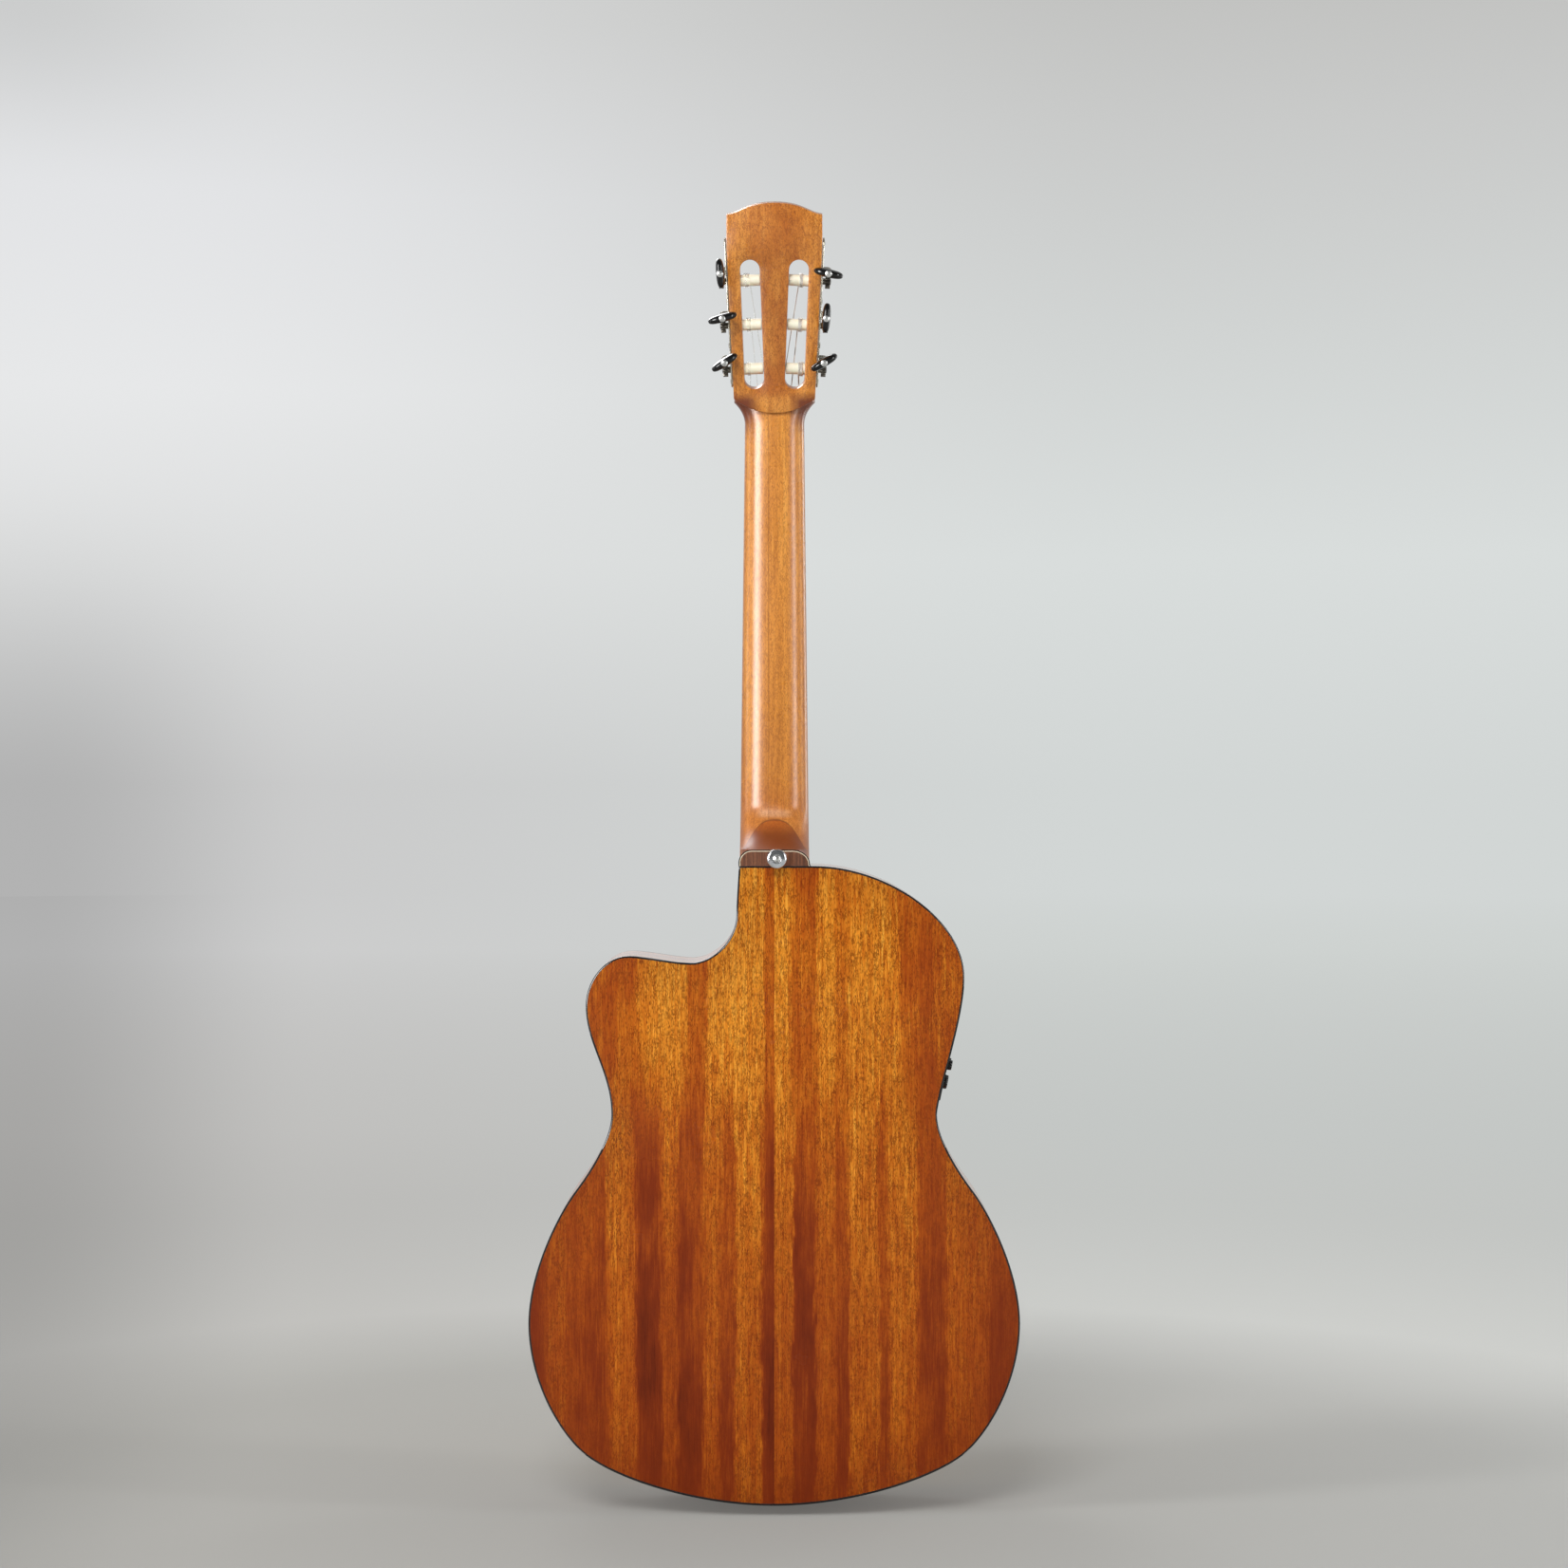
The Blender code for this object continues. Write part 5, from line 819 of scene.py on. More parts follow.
def eased(bm, width, angle=50, segments=2):
    """Breaks the sharp edges of a solid."""
    bmesh.ops.recalc_face_normals(bm, faces=bm.faces[:])
    edges = [e for e in bm.edges if len(e.link_faces) == 2 and e.calc_face_angle(0) > radians(angle)]
    rounded(bm, edges, width, segments)


drop = 0.011  # the arc at the foot of the head's back
arc_radius = (HEAD_HALF_FOOT * HEAD_HALF_FOOT + drop * drop) / (2 * drop)
arc_reach = atan2(HEAD_HALF_FOOT, arc_radius - drop)
arc_centre = 0.005 - drop + arc_radius
turns = [arc_reach - 2 * arc_reach * i / 32 for i in range(33)]
arc = [Vector((arc_radius * sin(turn), arc_centre - arc_radius * cos(turn))) for turn in turns]
bm = sheet(head_outline(arc), slot_outline(-1, 0.0130), slot_outline(1, 0.0130))
raise_slab(bm, 0.0, HEAD_THICKNESS)
eased(bm, 0.0007)
bmesh.ops.transform(bm, matrix=HEAD_TURN, verts=bm.verts[:])
cut_off(bm, (0, FRONT_Y, 0), (0, -1, 0))
finish("head", bm, neck_look, replaces=["neck"])


# Dark woods: the veneer on the head's face, the cap on the heel, the fretboard and the bridge
# are rosewood, close-grained and nearly black, oiled rather than lacquered.
def oiled(name, dark, middle, light):
    """A dark oiled wood, close-grained, with long dark pores."""
    made, shader, place = look(name, Coat_Weight=0.1, Coat_Roughness=0.3, Specular_IOR_Level=0.4)
    wood = use(grain, Vector=place, Streak_Width=0.0016, Pore_Length=0.0034, Pore_Share=0.5)
    colour = ramp(wood["Streak"], ((0.3, *dark), (0.5, *middle), (0.7, *light)))
    colour = blend(wood["Pore"] * 0.7, colour, dark)
    surfaced(shader, place, colour, (20.0, 0.42, 0.12), 0.00006, 0.4, wood["Height"])
    return made


rosewood_look = oiled("dark_rosewood", (34, 18, 14), (58, 33, 25), (88, 54, 40))
cap_look = oiled("brown_rosewood", (66, 34, 18), (104, 60, 36), (136, 86, 56))

foot = [Vector((0.0317, 0.0007)), Vector((-0.0317, 0.0007))]
bm = sheet(head_outline(foot), slot_outline(-1, 0.0075), slot_outline(1, 0.0075))
raise_slab(bm, -0.0023, 0.0)
eased(bm, 0.0003)
finish("head_veneer", bm, rosewood_look, place=HEAD_TURN)

pale_line_look, shader, place = look("pale_wood_line", Coat_Weight=0.4, Coat_Roughness=0.15, Roughness=0.35)
feed(shader, Base_Color=blend(noise(place, (900, 900, 60)), (226, 212, 188), (198, 180, 150)))

CAP_HALF_WIDTH = 0.0274
CAP_LINES = (0.0008, 0.0006)  # the dark line and the pale line within it
outline = [(-CAP_HALF_WIDTH - 0.0022, BODY_LENGTH - 0.006), (CAP_HALF_WIDTH, BODY_LENGTH - 0.006)]
for side, wide, high in ((1, 0.0100, 0.0100), (-1, 0.0135, 0.0108)):
    turns = [pi / 2 * i / 14 for i in range(15)]
    corner = [(side * (CAP_HALF_WIDTH - wide * (1 - cos(turn))), HEEL_TOP - high * (1 - sin(turn)))
              for turn in turns]
    outline += corner[::side]
bm = bmesh.new()
bm.faces.new(ring(bm, outline)[0])
bm.normal_update()
for number, width in enumerate(CAP_LINES, 1):
    centre = max(bm.faces, key=lambda face: face.calc_area())
    border = bmesh.ops.inset_individual(bm, faces=[centre], thickness=width, use_even_offset=True)
    for face in border["faces"]:
        face.material_index = number
sliced(bm, (0, 0, BODY_LENGTH), (0, 0, -1), True, 0.000001)
raise_slab(bm, CAP_SEAT_Y, 0.039)
finish("heel_cap", bm, [cap_look, binding_look, pale_line_look])


# Fretboard: a rosewood board 6 mm thick, glued on the neck and over the soundboard, with
# nineteen nickel-silver frets whose tangs are pressed into it. A steel rod lies in the neck.
SCALE = 0.650
BOARD_FACE_Y = -0.0513
FRET_RADIUS = 0.0011

metal_marks, given, end = effect("metal_marks", ("Vector", "Direction", "Base Roughness"),
                                 ("Roughness", "Tint", "Height"))
lines = noise(vectors("MULTIPLY", given["Vector"], given["Direction"]), 1.0, 3.0)
stain = noise(given["Vector"], 180.0, 4.0)
rough = maths("ADD", given["Base Roughness"], (stain - 0.45) * 0.30, clamp=True)
feed(end, Roughness=rough, Tint=stain, Height=lines)


def metal(name, light, dark, roughness, direction=(1200, 1200, 1200)):
    """A plated or polished metal, a little stained and finely marked."""
    made, shader, place = look(name, Metallic=1.0)
    marks = use(metal_marks, Vector=place, Direction=direction, Base_Roughness=roughness)
    feed(shader, Base_Color=blend(spread(marks["Tint"], 0.35, 0.7), light, dark),
         Roughness=marks["Roughness"], Normal=bumped(marks["Height"], 0.00002, 0.25))
    return made


def fret_z(number):
    return NUT_Z - SCALE * (1 - 2 ** (-number / 12))


fret_look = metal("nickel_silver", (206, 200, 186), (176, 168, 150), 0.26, (60, 2500, 2500))
steel_look = metal("steel", (176, 176, 178), (138, 138, 140), 0.34)
chrome_look = metal("chrome", (226, 227, 230), (200, 202, 206), 0.10)
dress(steel_look, "truss_rod", "truss_nut", "saddle_pickup")

foot = fret_z(19) - 0.005
low, high = neck_half_width(foot), neck_half_width(NUT_Z)
bm = bmesh.new()
bm.faces.new(ring(bm, [(-low, foot), (low, foot), (high, NUT_Z), (-high, NUT_Z)])[0])
raise_slab(bm, BOARD_FACE_Y, FRONT_Y)
eased(bm, 0.0004)
finish("fretboard", bm, rosewood_look)

bm = bmesh.new()
for number in range(1, 20):
    z = fret_z(number)
    width = 2 * neck_half_width(z) - 0.0008
    made = bmesh.ops.create_cone(bm, cap_ends=True, segments=20, radius1=FRET_RADIUS, radius2=FRET_RADIUS,
                                 depth=width, matrix=Matrix.Rotation(pi / 2, 4, "Y"))
    bmesh.ops.translate(bm, vec=(0, BOARD_FACE_Y + 0.0001, z), verts=made["verts"])
eased(bm, 0.0003)
finish("frets", bm, fret_look, replaces=["fretboard"], sharp=40)


# Nut and saddle: bone, squared, polished and eased at the edges. The nut is notched for the
# strings; the saddle sits loose in the bridge's slot, on the pickup strip.
STRING_GAUGES = (0.00071, 0.00081, 0.00102, 0.00074, 0.00086, 0.00109)  # string 1 first
NUT_SPACING, SADDLE_SPACING = 0.0079, 0.0116
NUT_FACE_Y = -0.0530
NUT_EDGES = (0.0234, 0.0230)  # half widths at the shoulder and at the top
SADDLE_Z = NUT_Z - SCALE


def string_x(number, spacing):
    return (3.5 - number) * spacing


bone_look, shader, place = look("bone", Coat_Weight=0.2, Coat_Roughness=0.2)
flecks = noise(place, (300, 1600, 1600))
colour = blend(noise(place, (40, 160, 160), 4.0), (240, 232, 212), (224, 210, 180))
colour = blend(spread(flecks, 0.58, 0.75, 0.0, 0.3), colour, (200, 180, 144))
surfaced(shader, place, colour, (60.0, 0.30, 0.10), 0.00003, 0.3, flecks)


def merged(bm, other, matrix=None):
    """Adds one bmesh to another."""
    if matrix is not None:
        bmesh.ops.transform(other, matrix=matrix, verts=other.verts[:])
    mesh = mesh_of("part", other)
    bm.from_mesh(mesh)
    bpy.data.meshes.remove(mesh)


def block(bm, low, high, ease=0.0, segments=2, matrix=None):
    """Adds a box between two corners, with its edges eased."""
    low, high = Vector(low), Vector(high)
    own = bmesh.new()
    bmesh.ops.create_cube(own, size=1.0)
    bmesh.ops.scale(own, vec=high - low, verts=own.verts[:])
    bmesh.ops.translate(own, vec=(low + high) / 2, verts=own.verts[:])
    if ease:
        eased(own, ease, segments=segments)
    merged(bm, own, matrix)


shoulder, top_end = NUT_EDGES
top = [(-shoulder, 0.0006), (-top_end, 0.0)]  # across, and how far down from the nut's face
for number in range(6, 0, -1):
    x = string_x(number, NUT_SPACING)
    reach = STRING_GAUGES[number - 1] * 0.7
    top += [(x - reach, 0.0), (x - reach * 0.7, 0.0004), (x, 0.0006), (x + reach * 0.7, 0.0004),
            (x + reach, 0.0)]
top += [(top_end, 0.0), (shoulder, 0.0006)]
rows = []
for rise, drop in ((0, 0.0006), (0.0006, 0.0), (0.0039, 0.0003), (0.0045, 0.0010)):
    row = [(x, NUT_FACE_Y + drop + cut) for x, cut in top] + [(shoulder, FRONT_Y), (-shoulder, FRONT_Y)]
    rows.append([(x, y, NUT_Z + rise) for x, y in row])
finish("nut", lofted(rows), bone_look)

bm = bmesh.new()
block(bm, *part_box("saddle"), 0.0008, 3)
finish("saddle", bm, bone_look)


# Bridge: one piece of rosewood glued to the soundboard, with thin wings, a tie block with six
# holes along it and bone strips on its top.
BRIDGE_GLUE_Y = FRONT_Y - 0.0003
BRIDGE_HALF = 0.043  # the middle part, without its wings
WING_MIDDLE, WING_WIDTH, WING_LENGTH = 0.06775, 0.0505, 0.0283
tail, front = SADDLE_Z - 0.0172, SADDLE_Z + 0.0125
tie_end = tail + 0.0105
profile = [(0.0, tail), (0.0088, tail), (0.0088, tie_end), (0.0042, tie_end + 0.0004),
           (0.0042, SADDLE_Z - 0.0036), (0.0064, SADDLE_Z - 0.0033), (0.0064, SADDLE_Z - 0.0016),
           (0.0030, SADDLE_Z - 0.0016), (0.0030, SADDLE_Z + 0.0016), (0.0064, SADDLE_Z + 0.0016),
           (0.0064, SADDLE_Z + 0.0033), (0.0032, front), (0.0, front)]


def wing_face(x, z):
    return BRIDGE_GLUE_Y - 0.0034 + 0.0012 * ((abs(x) - BRIDGE_HALF) / 0.05) ** 2


bm = bmesh.new()
verts = [bm.verts.new((-BRIDGE_HALF, BRIDGE_GLUE_Y - rise, z)) for rise, z in profile]
grown = bmesh.ops.extrude_face_region(bm, geom=[bm.faces.new(verts)])
bmesh.ops.translate(bm, vec=(2 * BRIDGE_HALF, 0, 0), verts=new_verts(grown))
eased(bm, 0.0005, 30)
for side in (-1, 1):
    wing = bmesh.new()
    bmesh.ops.create_grid(wing, x_segments=12, y_segments=1, size=0.5)
    spot = Matrix(((WING_WIDTH, 0, 0, side * WING_MIDDLE), (0, 0, 1, 0),
                   (0, WING_LENGTH, 0, (tail + front) / 2), (0, 0, 0, 1)))
    bmesh.ops.transform(wing, matrix=spot, verts=wing.verts[:])
    raise_slab(wing, wing_face, BRIDGE_GLUE_Y)
    eased(wing, 0.0007, segments=3)
    merged(bm, wing)
finish("bridge", bm, rosewood_look)

bm = bmesh.new()
for z in (tail + 0.0006, tie_end - 0.0020):
    block(bm, (-0.0425, BRIDGE_GLUE_Y - 0.0090, z), (0.0425, BRIDGE_GLUE_Y - 0.0080, z + 0.0014), 0.0002, 1)
finish("tie_block_inlay", bm, bone_look, replaces=["bridge"])


# Tuners: three machines a side on a plated steel plate screwed to the head's edge. Each has a
# steel worm in two brackets, a gear fixed to a plastic roller, and a black plastic button.
HEAD_LEAN = radians(2.644)
HEAD_EDGE_X = 0.031769
ROLLER_DEPTH = 0.0100
ROLLER_HEIGHTS = (0.0273, 0.0618, 0.0963)
WORM_OFFSET = 0.0080
WORM_X = 0.0055
PLATE_SIZE = (0.0012, 0.0160, 0.1162)
PLATE_SCREWS = ((0.0, 0.0180), (-0.0045, 0.0465), (0.0045, 0.0465), (-0.0045, 0.0810), (0.0045, 0.0810),
                (0.0, 0.1255))
GEAR_TEETH = 14
THREAD_TURNS, THREAD_PITCH, THREAD_STEPS = 3.1, 0.00245, 74
BUTTON_SIZE = (0.0115, 0.0033, 0.0065)
BUTTON_TURNS = {"bass": (147, 92, 10), "treble": (150, 167, 88)}  # how each key stands, in degrees

plate_look = metal("plated_plate", (206, 200, 186), (158, 150, 134), 0.22, (1500, 1500, 60))
screw_look = metal("nickel_screw", (226, 226, 224), (196, 196, 194), 0.26)
gear_look = metal("blackened_gear", (132, 126, 116), (74, 70, 64), 0.28)

cream_look, shader, place = look("cream_plastic", Coat_Weight=0.2, Coat_Roughness=0.15,
                                 Subsurface_Weight=0.05)
colour = blend(noise(place, 160.0, 3.0), (253, 251, 232), (248, 243, 214))
surfaced(shader, place, colour, (80.0, 0.30, 0.12), 0.00002, 0.3)


def black_plastic(name, roughness, coat, shade, speckle=0.00002):
    """Moulded black plastic, with its fine texture and a little haze."""
    made, shader, place = look(name, Coat_Weight=coat, Coat_Roughness=0.1, Specular_IOR_Level=0.4)
    colour = blend(noise(place, 90.0, 3.0), (shade - 6,) * 3, (shade + 6, shade + 5, shade + 4))
    surfaced(shader, place, colour, (60.0, roughness, 0.10), speckle, 0.5, noise(place, 4500.0, 1.0))
    return made


button_look = black_plastic("glossy_black_plastic", 0.20, 0.12, 8)


def at(x, y, z):
    return Matrix.Translation((x, y, z))


def spun(angle, axis):
    return Matrix.Rotation(angle, 4, axis)


def head_edge(side):
    """The frame of one edge of the head: up along it, with its face towards the front."""
    return HEAD_TURN @ at(side * HEAD_EDGE_X, 0, 0) @ spun(side * HEAD_LEAN, "Y")


def turned(profile, steps=32):
    """A shape turned about Z from (radius, height) points, closed onto the axis at both ends."""
    bm = bmesh.new()
    first, last = profile[0], profile[-1]
    points = [(0, first[1]), *profile] + ([(0, last[1])] if last[0] else [])
    verts = [bm.verts.new((radius, 0, height)) for radius, height in points]
    edges = [bm.edges.new(pair) for pair in zip(verts, verts[1:])]
    bmesh.ops.spin(bm, geom=verts + edges, cent=(0, 0, 0), axis=(0, 0, 1), angle=2 * pi, steps=steps,
                   use_merge=True)
    bmesh.ops.remove_doubles(bm, verts=bm.verts[:], dist=0.000002)
    bmesh.ops.recalc_face_normals(bm, faces=bm.faces[:])
    return bm


def crosshead(radius, height):
    """The head of a cross-recessed screw, its top towards +Z, standing on Z 0."""
    bm = bmesh.new()
    bmesh.ops.create_grid(bm, x_segments=7, y_segments=7, size=radius)
    for vert in bm.verts:
        reach = max(abs(vert.co.x), abs(vert.co.y))
        if reach > radius * 0.6:
            vert.co *= reach / vert.co.length
        vert.co.z = height * (1 - 0.45 * (vert.co.length / radius) ** 2)
    step = 2 * radius / 7
    arms = []
    for face in bm.faces:
        centre = face.calc_center_median().xy
        if min(abs(centre.x), abs(centre.y)) < step * 0.5 and centre.length < step * 2.5:
            arms.append(face)
    skirt = bmesh.ops.extrude_edge_only(bm, edges=[e for e in bm.edges if len(e.link_faces) == 1])
    for vert in new_verts(skirt):
        vert.co.z = 0.0
    sunk = bmesh.ops.extrude_face_region(bm, geom=arms)
    bmesh.ops.delete(bm, geom=arms, context="FACES")
    bmesh.ops.translate(bm, vec=(0, 0, -height * 0.7), verts=new_verts(sunk))
    bmesh.ops.holes_fill(bm, edges=[e for e in bm.edges if len(e.link_faces) == 1])
    return bm


def tuner_plate(side):
    """A plate with its six brackets and its screws."""
    bm = bmesh.new()
    plate = bmesh.new()
    bmesh.ops.create_cube(plate, size=1.0)
    bmesh.ops.scale(plate, vec=PLATE_SIZE, verts=plate.verts[:])
    corners = [e for e in plate.edges if abs(e.verts[0].co.x - e.verts[1].co.x) > 0.001]
    rounded(plate, corners, 0.0035, 6, clamp=False)
    eased(plate, 0.0003, 60)
    merged(bm, plate, at(side * 0.0009, ROLLER_DEPTH, 0.0719))
    for height in ROLLER_HEIGHTS:
        worm_height = height + WORM_OFFSET
        for way in (-1, 1):
            middle = ROLLER_DEPTH + way * 0.00675
            bush = turned([(0.0028, -0.0010), (0.0028, 0.0007), (0.0025, 0.0010)], 24)
            merged(bm, bush, at(side * WORM_X, middle, worm_height) @ spun(pi / 2, "X"))
            inner, outer = sorted((side * 0.0008, side * WORM_X))
            block(bm, (inner, middle - 0.0010, worm_height - 0.0028),
                  (outer, middle + 0.0010, worm_height + 0.0028), 0.0002, 1)
    for y, z in PLATE_SCREWS:
        spot = at(side * 0.0014, ROLLER_DEPTH + y, z) @ spun(side * pi / 2, "Y")
        merged(bm, crosshead(0.0021, 0.0008), spot)
    return bm


def barrel(height):
    """A plastic roller on its steel pin, along Z, from the plate into the head."""
    slot_centre = 0.0159 + 0.0033 * (height - 0.0130) / 0.1005
    reach = HEAD_EDGE_X + height * tan(HEAD_LEAN) - slot_centre + 0.0077 - 0.0003
    bm = turned([(0.0042, -reach), (0.0045, -reach + 0.0004), (0.0045, -0.0009), (0.0042, -0.0005)], 40)
    merged(bm, turned([(0.0017, -reach - 0.006), (0.0020, -reach - 0.0057), (0.0020, -reach + 0.001)], 24))
    return bm


def gear():
    """A gear about Z, on its hub."""
    radius, depth = 0.0055, 0.0011
    bm = bmesh.new()
    rim = bmesh.ops.create_circle(bm, cap_ends=True, segments=GEAR_TEETH * 4, radius=radius)["verts"]
    for i, vert in enumerate(rim):
        if i % 4 in (2, 3):
            vert.co *= 1 - depth / radius
    grown = bmesh.ops.extrude_face_region(bm, geom=bm.faces[:])
    bmesh.ops.translate(bm, vec=(0, 0, 0.0038), verts=new_verts(grown))
    eased(bm, 0.00015, 60, 1)
    bmesh.ops.translate(bm, vec=(0, 0, WORM_X - 0.0019), verts=bm.verts[:])
    merged(bm, turned([(0.0025, -0.001), (0.0025, WORM_X - 0.0010)], 24))
    return bm


def worm():
    """A worm with its shaft along Z and the screw that holds the button."""
    bm = turned([(0.0012, -0.00835), (0.0014, -0.0081), (0.0014, -0.0051), (0.0017, -0.0049),
                 (0.0017, 0.0049), (0.0014, 0.0051), (0.0014, 0.0283)], 24)
    thread = bmesh.new()
    profile = [thread.verts.new((radius, 0, height)) for radius, height in (
        (0.0014, -0.0009), (0.0023, -0.00025), (0.0023, 0.00025), (0.0014, 0.0009))]
    face = thread.faces.new(profile)
    bmesh.ops.translate(thread, vec=(0, 0, -0.0038), verts=thread.verts[:])
    rise = THREAD_PITCH * THREAD_TURNS / THREAD_STEPS
    bmesh.ops.spin(thread, geom=[face] + list(face.edges) + profile, cent=(0, 0, 0), axis=(0, 0, 1),
                   angle=2 * pi * THREAD_TURNS, steps=THREAD_STEPS, dvec=(0, 0, rise), use_merge=False)
    merged(bm, thread)
    merged(bm, crosshead(0.0025, 0.0011), at(0, 0, 0.0281))
    return bm


def button(degrees):
    """An oval button across a worm's shaft, turned about it."""
    bm = bmesh.new()
    bmesh.ops.create_uvsphere(bm, u_segments=56, v_segments=28, radius=1.0)
    for vert in bm.verts:
        vert.co /= sum(abs(c) ** 2.7 for c in vert.co) ** (1 / 2.7)
    bmesh.ops.scale(bm, vec=BUTTON_SIZE, verts=bm.verts[:])
    bmesh.ops.rotate(bm, matrix=Matrix.Rotation(-radians(degrees), 3, "Z"), verts=bm.verts[:])
    bmesh.ops.translate(bm, vec=(0, 0, 0.0215), verts=bm.verts[:])
    merged(bm, turned([(0.0022, 0.0140), (0.0026, 0.0144), (0.0026, 0.0165)], 24))
    return bm


for side, word in ((-1, "bass"), (1, "treble")):
    edge = head_edge(side)
    finish(f"tuner_plate_{word}", tuner_plate(side), plate_look, place=edge, sharp=35)
    for i, height in enumerate(ROLLER_HEIGHTS):
        number = f"{word}_{i + 1}"
        post, roller, key = f"post_{number}", f"roller_{number}", f"key_{number}"
        place = edge @ at(0, ROLLER_DEPTH, height) @ spun(side * pi / 2, "Y")
        finish(roller, barrel(height), cream_look, post, [roller], place, 35)
        finish(f"gear_{number}", gear(), gear_look, post, [roller], place, 35)
        finish(f"gear_screw_{number}", crosshead(0.0026, 0.0010), steel_look, post, [roller],
               place @ at(0, 0, WORM_X + 0.0018), 35)
        place = edge @ at(side * WORM_X, ROLLER_DEPTH, height + WORM_OFFSET) @ spun(-pi / 2, "X")
        finish(f"{key}_worm", worm(), screw_look, key, [f"{key}_worm"], place, 35)
        finish(f"{key}_button", button(BUTTON_TURNS[word][i]), button_look, key, [f"{key}_button"],
               place, 60)


# Strings: three clear nylon trebles and three basses of nylon floss wound with silvered copper.
# Each is tied round the bridge's block, crosses saddle and nut, and winds round its roller.
WINDING_TURN_STEPS, WINDING_POINTS = 48, 157
WINDING_STARTS = (-0.0144, -0.0161, -0.0165)
WIRE_PITCH = 0.00022

nylon_look, shader, place = look("clear_nylon", Roughness=0.08, IOR=1.3, Transmission_Weight=0.92,
                                 Alpha=0.55)
feed(shader, Base_Color=blend(noise(place, (900, 900, 60)), (252, 252, 250), (242, 242, 236)))

wound_look, shader, place = look("wound_string", Metallic=0.35, Roughness=0.34)
wire = maths("SINE", carried(place.tree, "along") * (2 * pi / WIRE_PITCH))
colour = blend(spread(noise(place, 60.0, 3.0), 0.35, 0.7), (244, 243, 238), (220, 216, 206))
# Painted shade in the grooves between the wire's turns.
colour = blend(spread(wire, -1.0, -0.2, 0.6, 0.0), colour, (80, 72, 60))
feed(shader, Base_Color=colour, Normal=bumped(wire, 0.00003, 0.6))


def softened(points, rounds=2):
    """A line with its corners cut, its two ends kept."""
    for _ in range(rounds):
        cut = [points[0]]
        for first, second in zip(points, points[1:]):
            cut += [first.lerp(second, 0.25), first.lerp(second, 0.75)]
        points = cut + [points[-1]]
    return points


def string_points(number):
    """A string's line, from its tie round the bridge to the last turn on its roller."""
    gauge = STRING_GAUGES[number - 1]
    side, index = (1, number - 1) if number <= 3 else (-1, 6 - number)
    over = 0.0002 + gauge / 2
    x, nut_x = string_x(number, SADDLE_SPACING), string_x(number, NUT_SPACING)
    block_top, hole_y = BRIDGE_GLUE_Y - 0.0088 - over, BRIDGE_GLUE_Y - 0.0056
    saddle_top, nut_top = FRONT_Y - 0.0115 - over, FRONT_Y - 0.0073 - over
    line = [Vector(point) for point in (
        (x + 0.0030, block_top - 0.0002, tail + 0.0042), (x + 0.0022, block_top - 0.0001, tail + 0.0024),
        (x + 0.0008, block_top - 0.0001, tail + 0.0006), (x, block_top + 0.0008, tail - over - 0.0002),
        (x, hole_y - 0.0008, tail - over - 0.0004), (x, hole_y, tail - 0.0008), (x, hole_y, tie_end + 0.0004),
        (x, hole_y - 0.0012, tie_end + 0.0014),
        (x, saddle_top + 0.0006, SADDLE_Z - 0.0023), (x, saddle_top, SADDLE_Z - 0.0009),
        (x, saddle_top, SADDLE_Z + 0.0009), (nut_x, nut_top, NUT_Z + 0.0004), (nut_x, nut_top, NUT_Z + 0.0041))]
    radius = 0.0048 + gauge / 2
    start_turn = radians(20) if index == 0 else radians(10)
    winding = []
    for i in range(WINDING_POINTS):
        turn = start_turn + 2 * pi * i / WINDING_TURN_STEPS
        across = WINDING_STARTS[index] + (gauge + 0.00015) * i / WINDING_TURN_STEPS
        winding.append(head_edge(side) @ Vector((side * across, ROLLER_DEPTH - radius * cos(turn),
                                                 ROLLER_HEIGHTS[index] + radius * sin(turn))))
    return softened(line) + winding


for number in range(1, 7):
    name = f"string_{number}"
    points = string_points(number)
    curve = bpy.data.curves.new(name, "CURVE")
    curve.dimensions = "3D"
    curve.bevel_depth = STRING_GAUGES[number - 1] / 2
    curve.bevel_resolution = 3
    curve.use_fill_caps = True
    line = curve.splines.new("POLY")
    line.points.add(len(points) - 1)
    for spot, point in zip(line.points, points):
        spot.co = (*point, 1.0)
    drawn = added("drawn", curve)
    mesh = bpy.data.meshes.new_from_object(drawn)
    mesh.name = name
    bpy.data.objects.remove(drawn)
    runs = [0.0]
    for first, second in zip(points, points[1:]):
        runs.append(runs[-1] + (second - first).length)
    along = mesh.attributes.new("along", "FLOAT", "POINT")
    sides = len(mesh.vertices) // len(points)
    for i, value in enumerate(along.data):
        value.value = runs[min(i // sides, len(runs) - 1)]
    mesh.shade_smooth()
    mesh.materials.clear()
    mesh.materials.append(nylon_look if number <= 3 else wound_look)
    piece = added(name, mesh)
    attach(piece, "guitar")
    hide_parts(f"string_{number}")


# Strap button: a turned and chromed button on the back, at the foot of the heel, held by one
# cross-recessed screw.
at_button = at(-0.002, 0.0390, 0.4952) @ spun(-pi / 2, "X")
bm = turned([(0.0034, 0.0080), (0.0034, 0.0101), (0.0037, 0.0105), (0.0060, 0.0105), (0.0068, 0.0103),
             (0.0074, 0.0098), (0.0075, 0.0092), (0.0074, 0.0086), (0.0068, 0.0080), (0.0050, 0.0066),
             (0.0041, 0.0052), (0.0038, 0.0040), (0.0038, 0.0025), (0.0043, 0.0012), (0.0052, 0.0003),
             (0.0052, 0.0)], 64)
finish("strap_button", bm, chrome_look, place=at_button, sharp=50)
finish("strap_button_screw", crosshead(0.0032, 0.0018), screw_look, replaces=["strap_button"],
       place=at_button @ at(0, 0, 0.0082) @ spun(radians(12), "Z"), sharp=50)


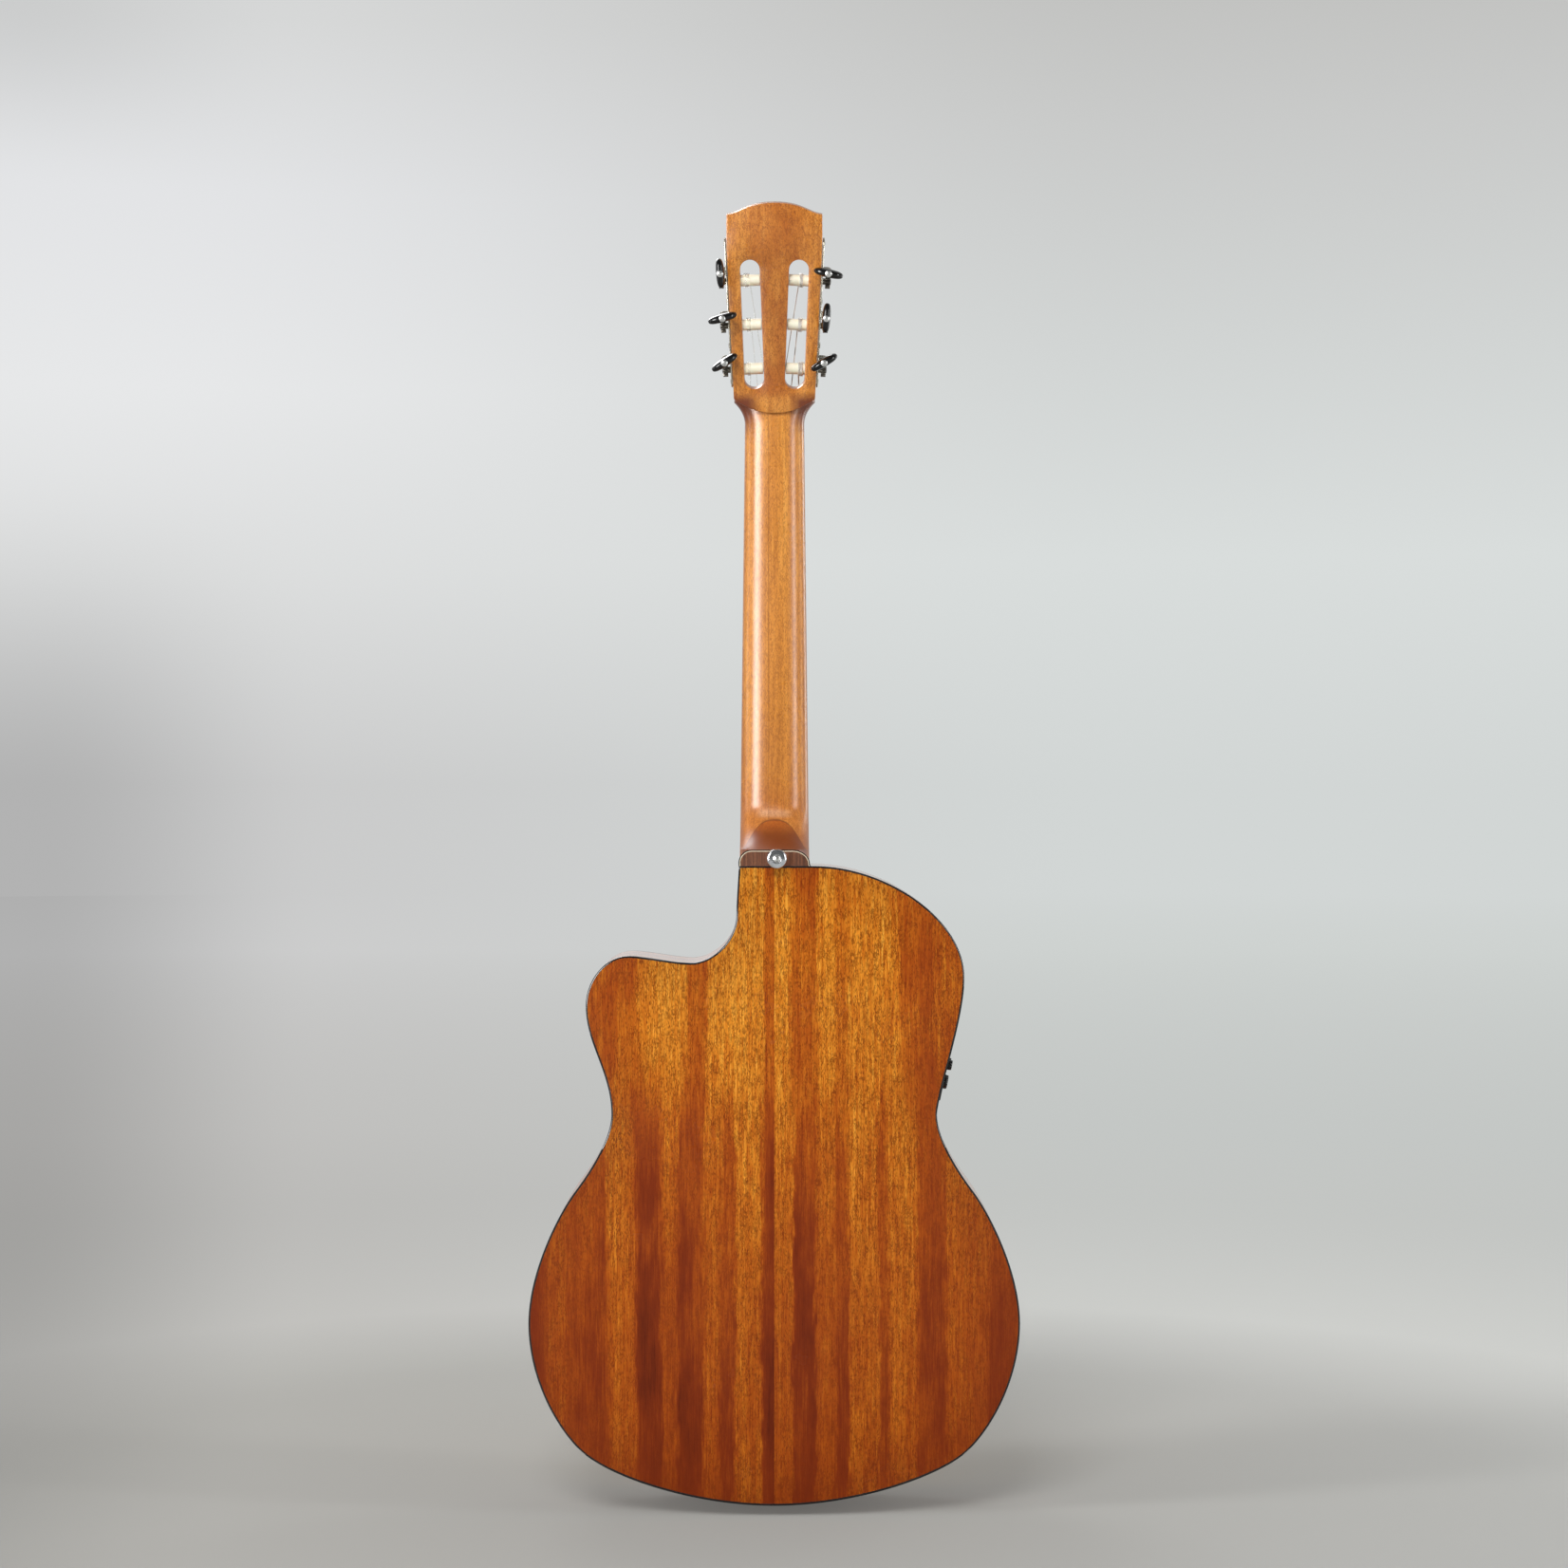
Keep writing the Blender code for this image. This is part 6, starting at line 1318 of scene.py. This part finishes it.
# Output jack: a chromed brass socket through the tail block, whose flange is also the lower
# strap pin. A lead plugs into its bore.
bm = turned([(0.0060, 0.034), (0.0060, 0.0), (0.0066, -0.0002), (0.0058, -0.0018), (0.0051, -0.0040),
             (0.0055, -0.0058), (0.0068, -0.0068), (0.0074, -0.0074), (0.0075, -0.0079), (0.0072, -0.0084),
             (0.0068, -0.0085), (0.0036, -0.0085), (0.0032, -0.0081), (0.0032, 0.028)], 64)
finish("endpin_jack", bm, chrome_look, sharp=50)


# Preamp: a moulded box let into the bass rib. Its panel carries a volume knob, two tone knobs,
# a display for the built-in tuner with its button, and a tray for a coin cell.
PANEL = Matrix((PANEL_OUT, (0, -1, 0), PANEL_UP)).transposed().to_4x4()
PANEL.translation = PANEL_SEAT
ALONG_OUT = spun(pi / 2, "Y")
SIDEWAYS = Matrix(((0, 1, 0), (1, 0, 0), (0, 0, 1))).to_4x4()
KNOBS = (  # piece, body, place across and along the panel, radius
    ("volume_knob", "volume_control", 0.0, -0.0317, 0.0057),
    ("bass_knob", "bass_control", -0.0105, -0.0174, 0.0041),
    ("treble_knob", "treble_control", 0.0105, -0.0174, 0.0041),
)
KNOB_HEIGHT = 0.0038
TUNER_KEY = (0.013, 0.005)
TRAY_SLOT = ((-0.0117, 0.0257), (0.0117, 0.0313))
TRAY_LOW, TRAY_HIGH = (-0.0223, -0.0113, 0.0261), (0.0023, 0.0113, 0.0309)
TRAY_WALL = 0.0010

panel_look = black_plastic("satin_black_plastic", 0.38, 0.1, 30, 0.00006)
dress(panel_look, "preamp_housing")
board_look, shader, place = look("circuit_board", Roughness=0.35, Coat_Weight=0.3)
scaled = put(place.tree, "Mapping", {"vector_type": "POINT"}, Vector=place, Scale=(400, 400, 400))
traces = put(place.tree, "TexBrick", Vector=scaled, Scale=1.0, Color1=tone(24, 92, 46),
             Color2=tone(32, 108, 58), Mortar=tone(70, 140, 74), Mortar_Size=0.03)
pads = put(place.tree, "TexVoronoi", Vector=place, Scale=380.0)
feed(shader, Base_Color=blend(spread(pads, 0.22, 0.14), traces, (196, 190, 170)),
     Normal=bumped(pads, 0.0002, 0.4))
dress(board_look, "circuit_board")


def corners(low, high):
    return [(low[0], low[1]), (high[0], low[1]), (high[0], high[1]), (low[0], high[1])]


panel_corner = (PANEL_WIDTH / 2, PANEL_LENGTH / 2)
bm = sheet(corners([-side for side in panel_corner], panel_corner), corners(*TRAY_SLOT),
           circle_points(0.0034, *TUNER_KEY, 40),
           *[circle_points(0.0024, y, z, 32) for _, _, y, z, _ in KNOBS])
raise_slab(bm, -0.001, 0.0015)
eased(bm, 0.0005, 60, 3)
finish("preamp_panel", bm, panel_look, place=PANEL @ SIDEWAYS)

glass_look, shader, place = look("display_glass", Roughness=0.06, Coat_Weight=1.0, Coat_Roughness=0.03)
scaled = put(place.tree, "Mapping", {"vector_type": "POINT"}, Vector=place, Scale=(900, 900, 900))
cells = put(place.tree, "TexBrick", Vector=scaled, Scale=1.0, Color1=tone(62, 72, 62),
            Color2=tone(66, 77, 66), Mortar=tone(54, 62, 54), Mortar_Size=0.02)
feed(shader, Base_Color=cells)
bm = bmesh.new()
block(bm, (0.0010, -0.014, -0.006), (0.00165, 0.004, 0.016), 0.0003)
finish("tuner_display", bm, glass_look, replaces=["preamp_panel"], place=PANEL)

print_look, shader, place = look("white_print", Roughness=0.5)
feed(shader, Base_Color=blend(noise(place, 4000.0), (228, 228, 224), (204, 204, 198)))

ticks = bmesh.new()
for name, body, y, z, radius in KNOBS:
    knob = bmesh.new()
    rim = bmesh.ops.create_circle(knob, cap_ends=True, segments=72, radius=radius)["verts"]
    for vert in rim[::4]:
        vert.co *= 0.955
    top = new_verts(bmesh.ops.extrude_face_region(knob, geom=knob.faces[:]))
    bmesh.ops.translate(knob, vec=(0, 0, KNOB_HEIGHT), verts=top)
    bmesh.ops.scale(knob, vec=(0.93, 0.93, 1), verts=top)
    eased(knob, 0.0003)
    merged(knob, turned([(0.0020, -0.006), (0.0020, 0.0005)], 20))
    at_knob = PANEL @ at(0.0018, y, z) @ ALONG_OUT
    finish(name, knob, button_look, body, [name], at_knob, 35)
    pointer = bmesh.new()
    block(pointer, (-radius * 0.86, -0.00025, KNOB_HEIGHT - 0.0002),
          (-radius * 0.30, 0.00025, KNOB_HEIGHT + 0.00008))
    finish(f"{name}_pointer", pointer, print_look, body, [name], at_knob)
    for i in range(11):
        mark = at(0.0015, y, z) @ ALONG_OUT @ spun(radians(-150 + 30 * i), "Z")
        block(ticks, (-radius - 0.0016, -0.00012, 0.0), (-radius - 0.0008, 0.00012, 0.00003), matrix=mark)
finish("panel_ticks", ticks, print_look, replaces=["preamp_panel"], place=PANEL)

bm = turned([(0.0012, -0.0053), (0.0012, -0.0020), (0.0040, -0.0020), (0.0040, -0.0013), (0.0030, -0.0013),
             (0.0030, 0.0022), (0.0028, 0.0026), (0.0024, 0.0027), (0, 0.0026)], 40)
finish("tuner_button", bm, button_look, "tuner_key", ["tuner_button"],
       PANEL @ at(0, *TUNER_KEY) @ ALONG_OUT, 50)

low, high = Vector(TRAY_LOW), Vector(TRAY_HIGH)
bm = bmesh.new()
block(bm, (0.0018, -0.0133, 0.0246), (0.0032, 0.0133, 0.0324), 0.0005, 3)
for first, second in (((low.x, low.y, low.z), (high.x, high.y, low.z + TRAY_WALL)),
                      ((low.x, low.y, low.z), (high.x, low.y + TRAY_WALL, high.z)),
                      ((low.x, high.y - TRAY_WALL, low.z), (high.x, high.y, high.z)),
                      ((low.x, low.y, low.z), (low.x + TRAY_WALL, high.y, high.z))):
    block(bm, first, second, 0.0002, 1)
finish("battery_tray", bm, panel_look, "cell_tray", ["battery_tray"], PANEL)
bm = turned([(0.0088, 0), (0.0092, 0.0004), (0.0100, 0.0005), (0.0100, 0.0030), (0.0098, 0.0032)], 48)
finish("coin_cell", bm, chrome_look, "cell_tray", ["coin_cell"], PANEL @ at(-0.011, 0, 0.0274), 50)
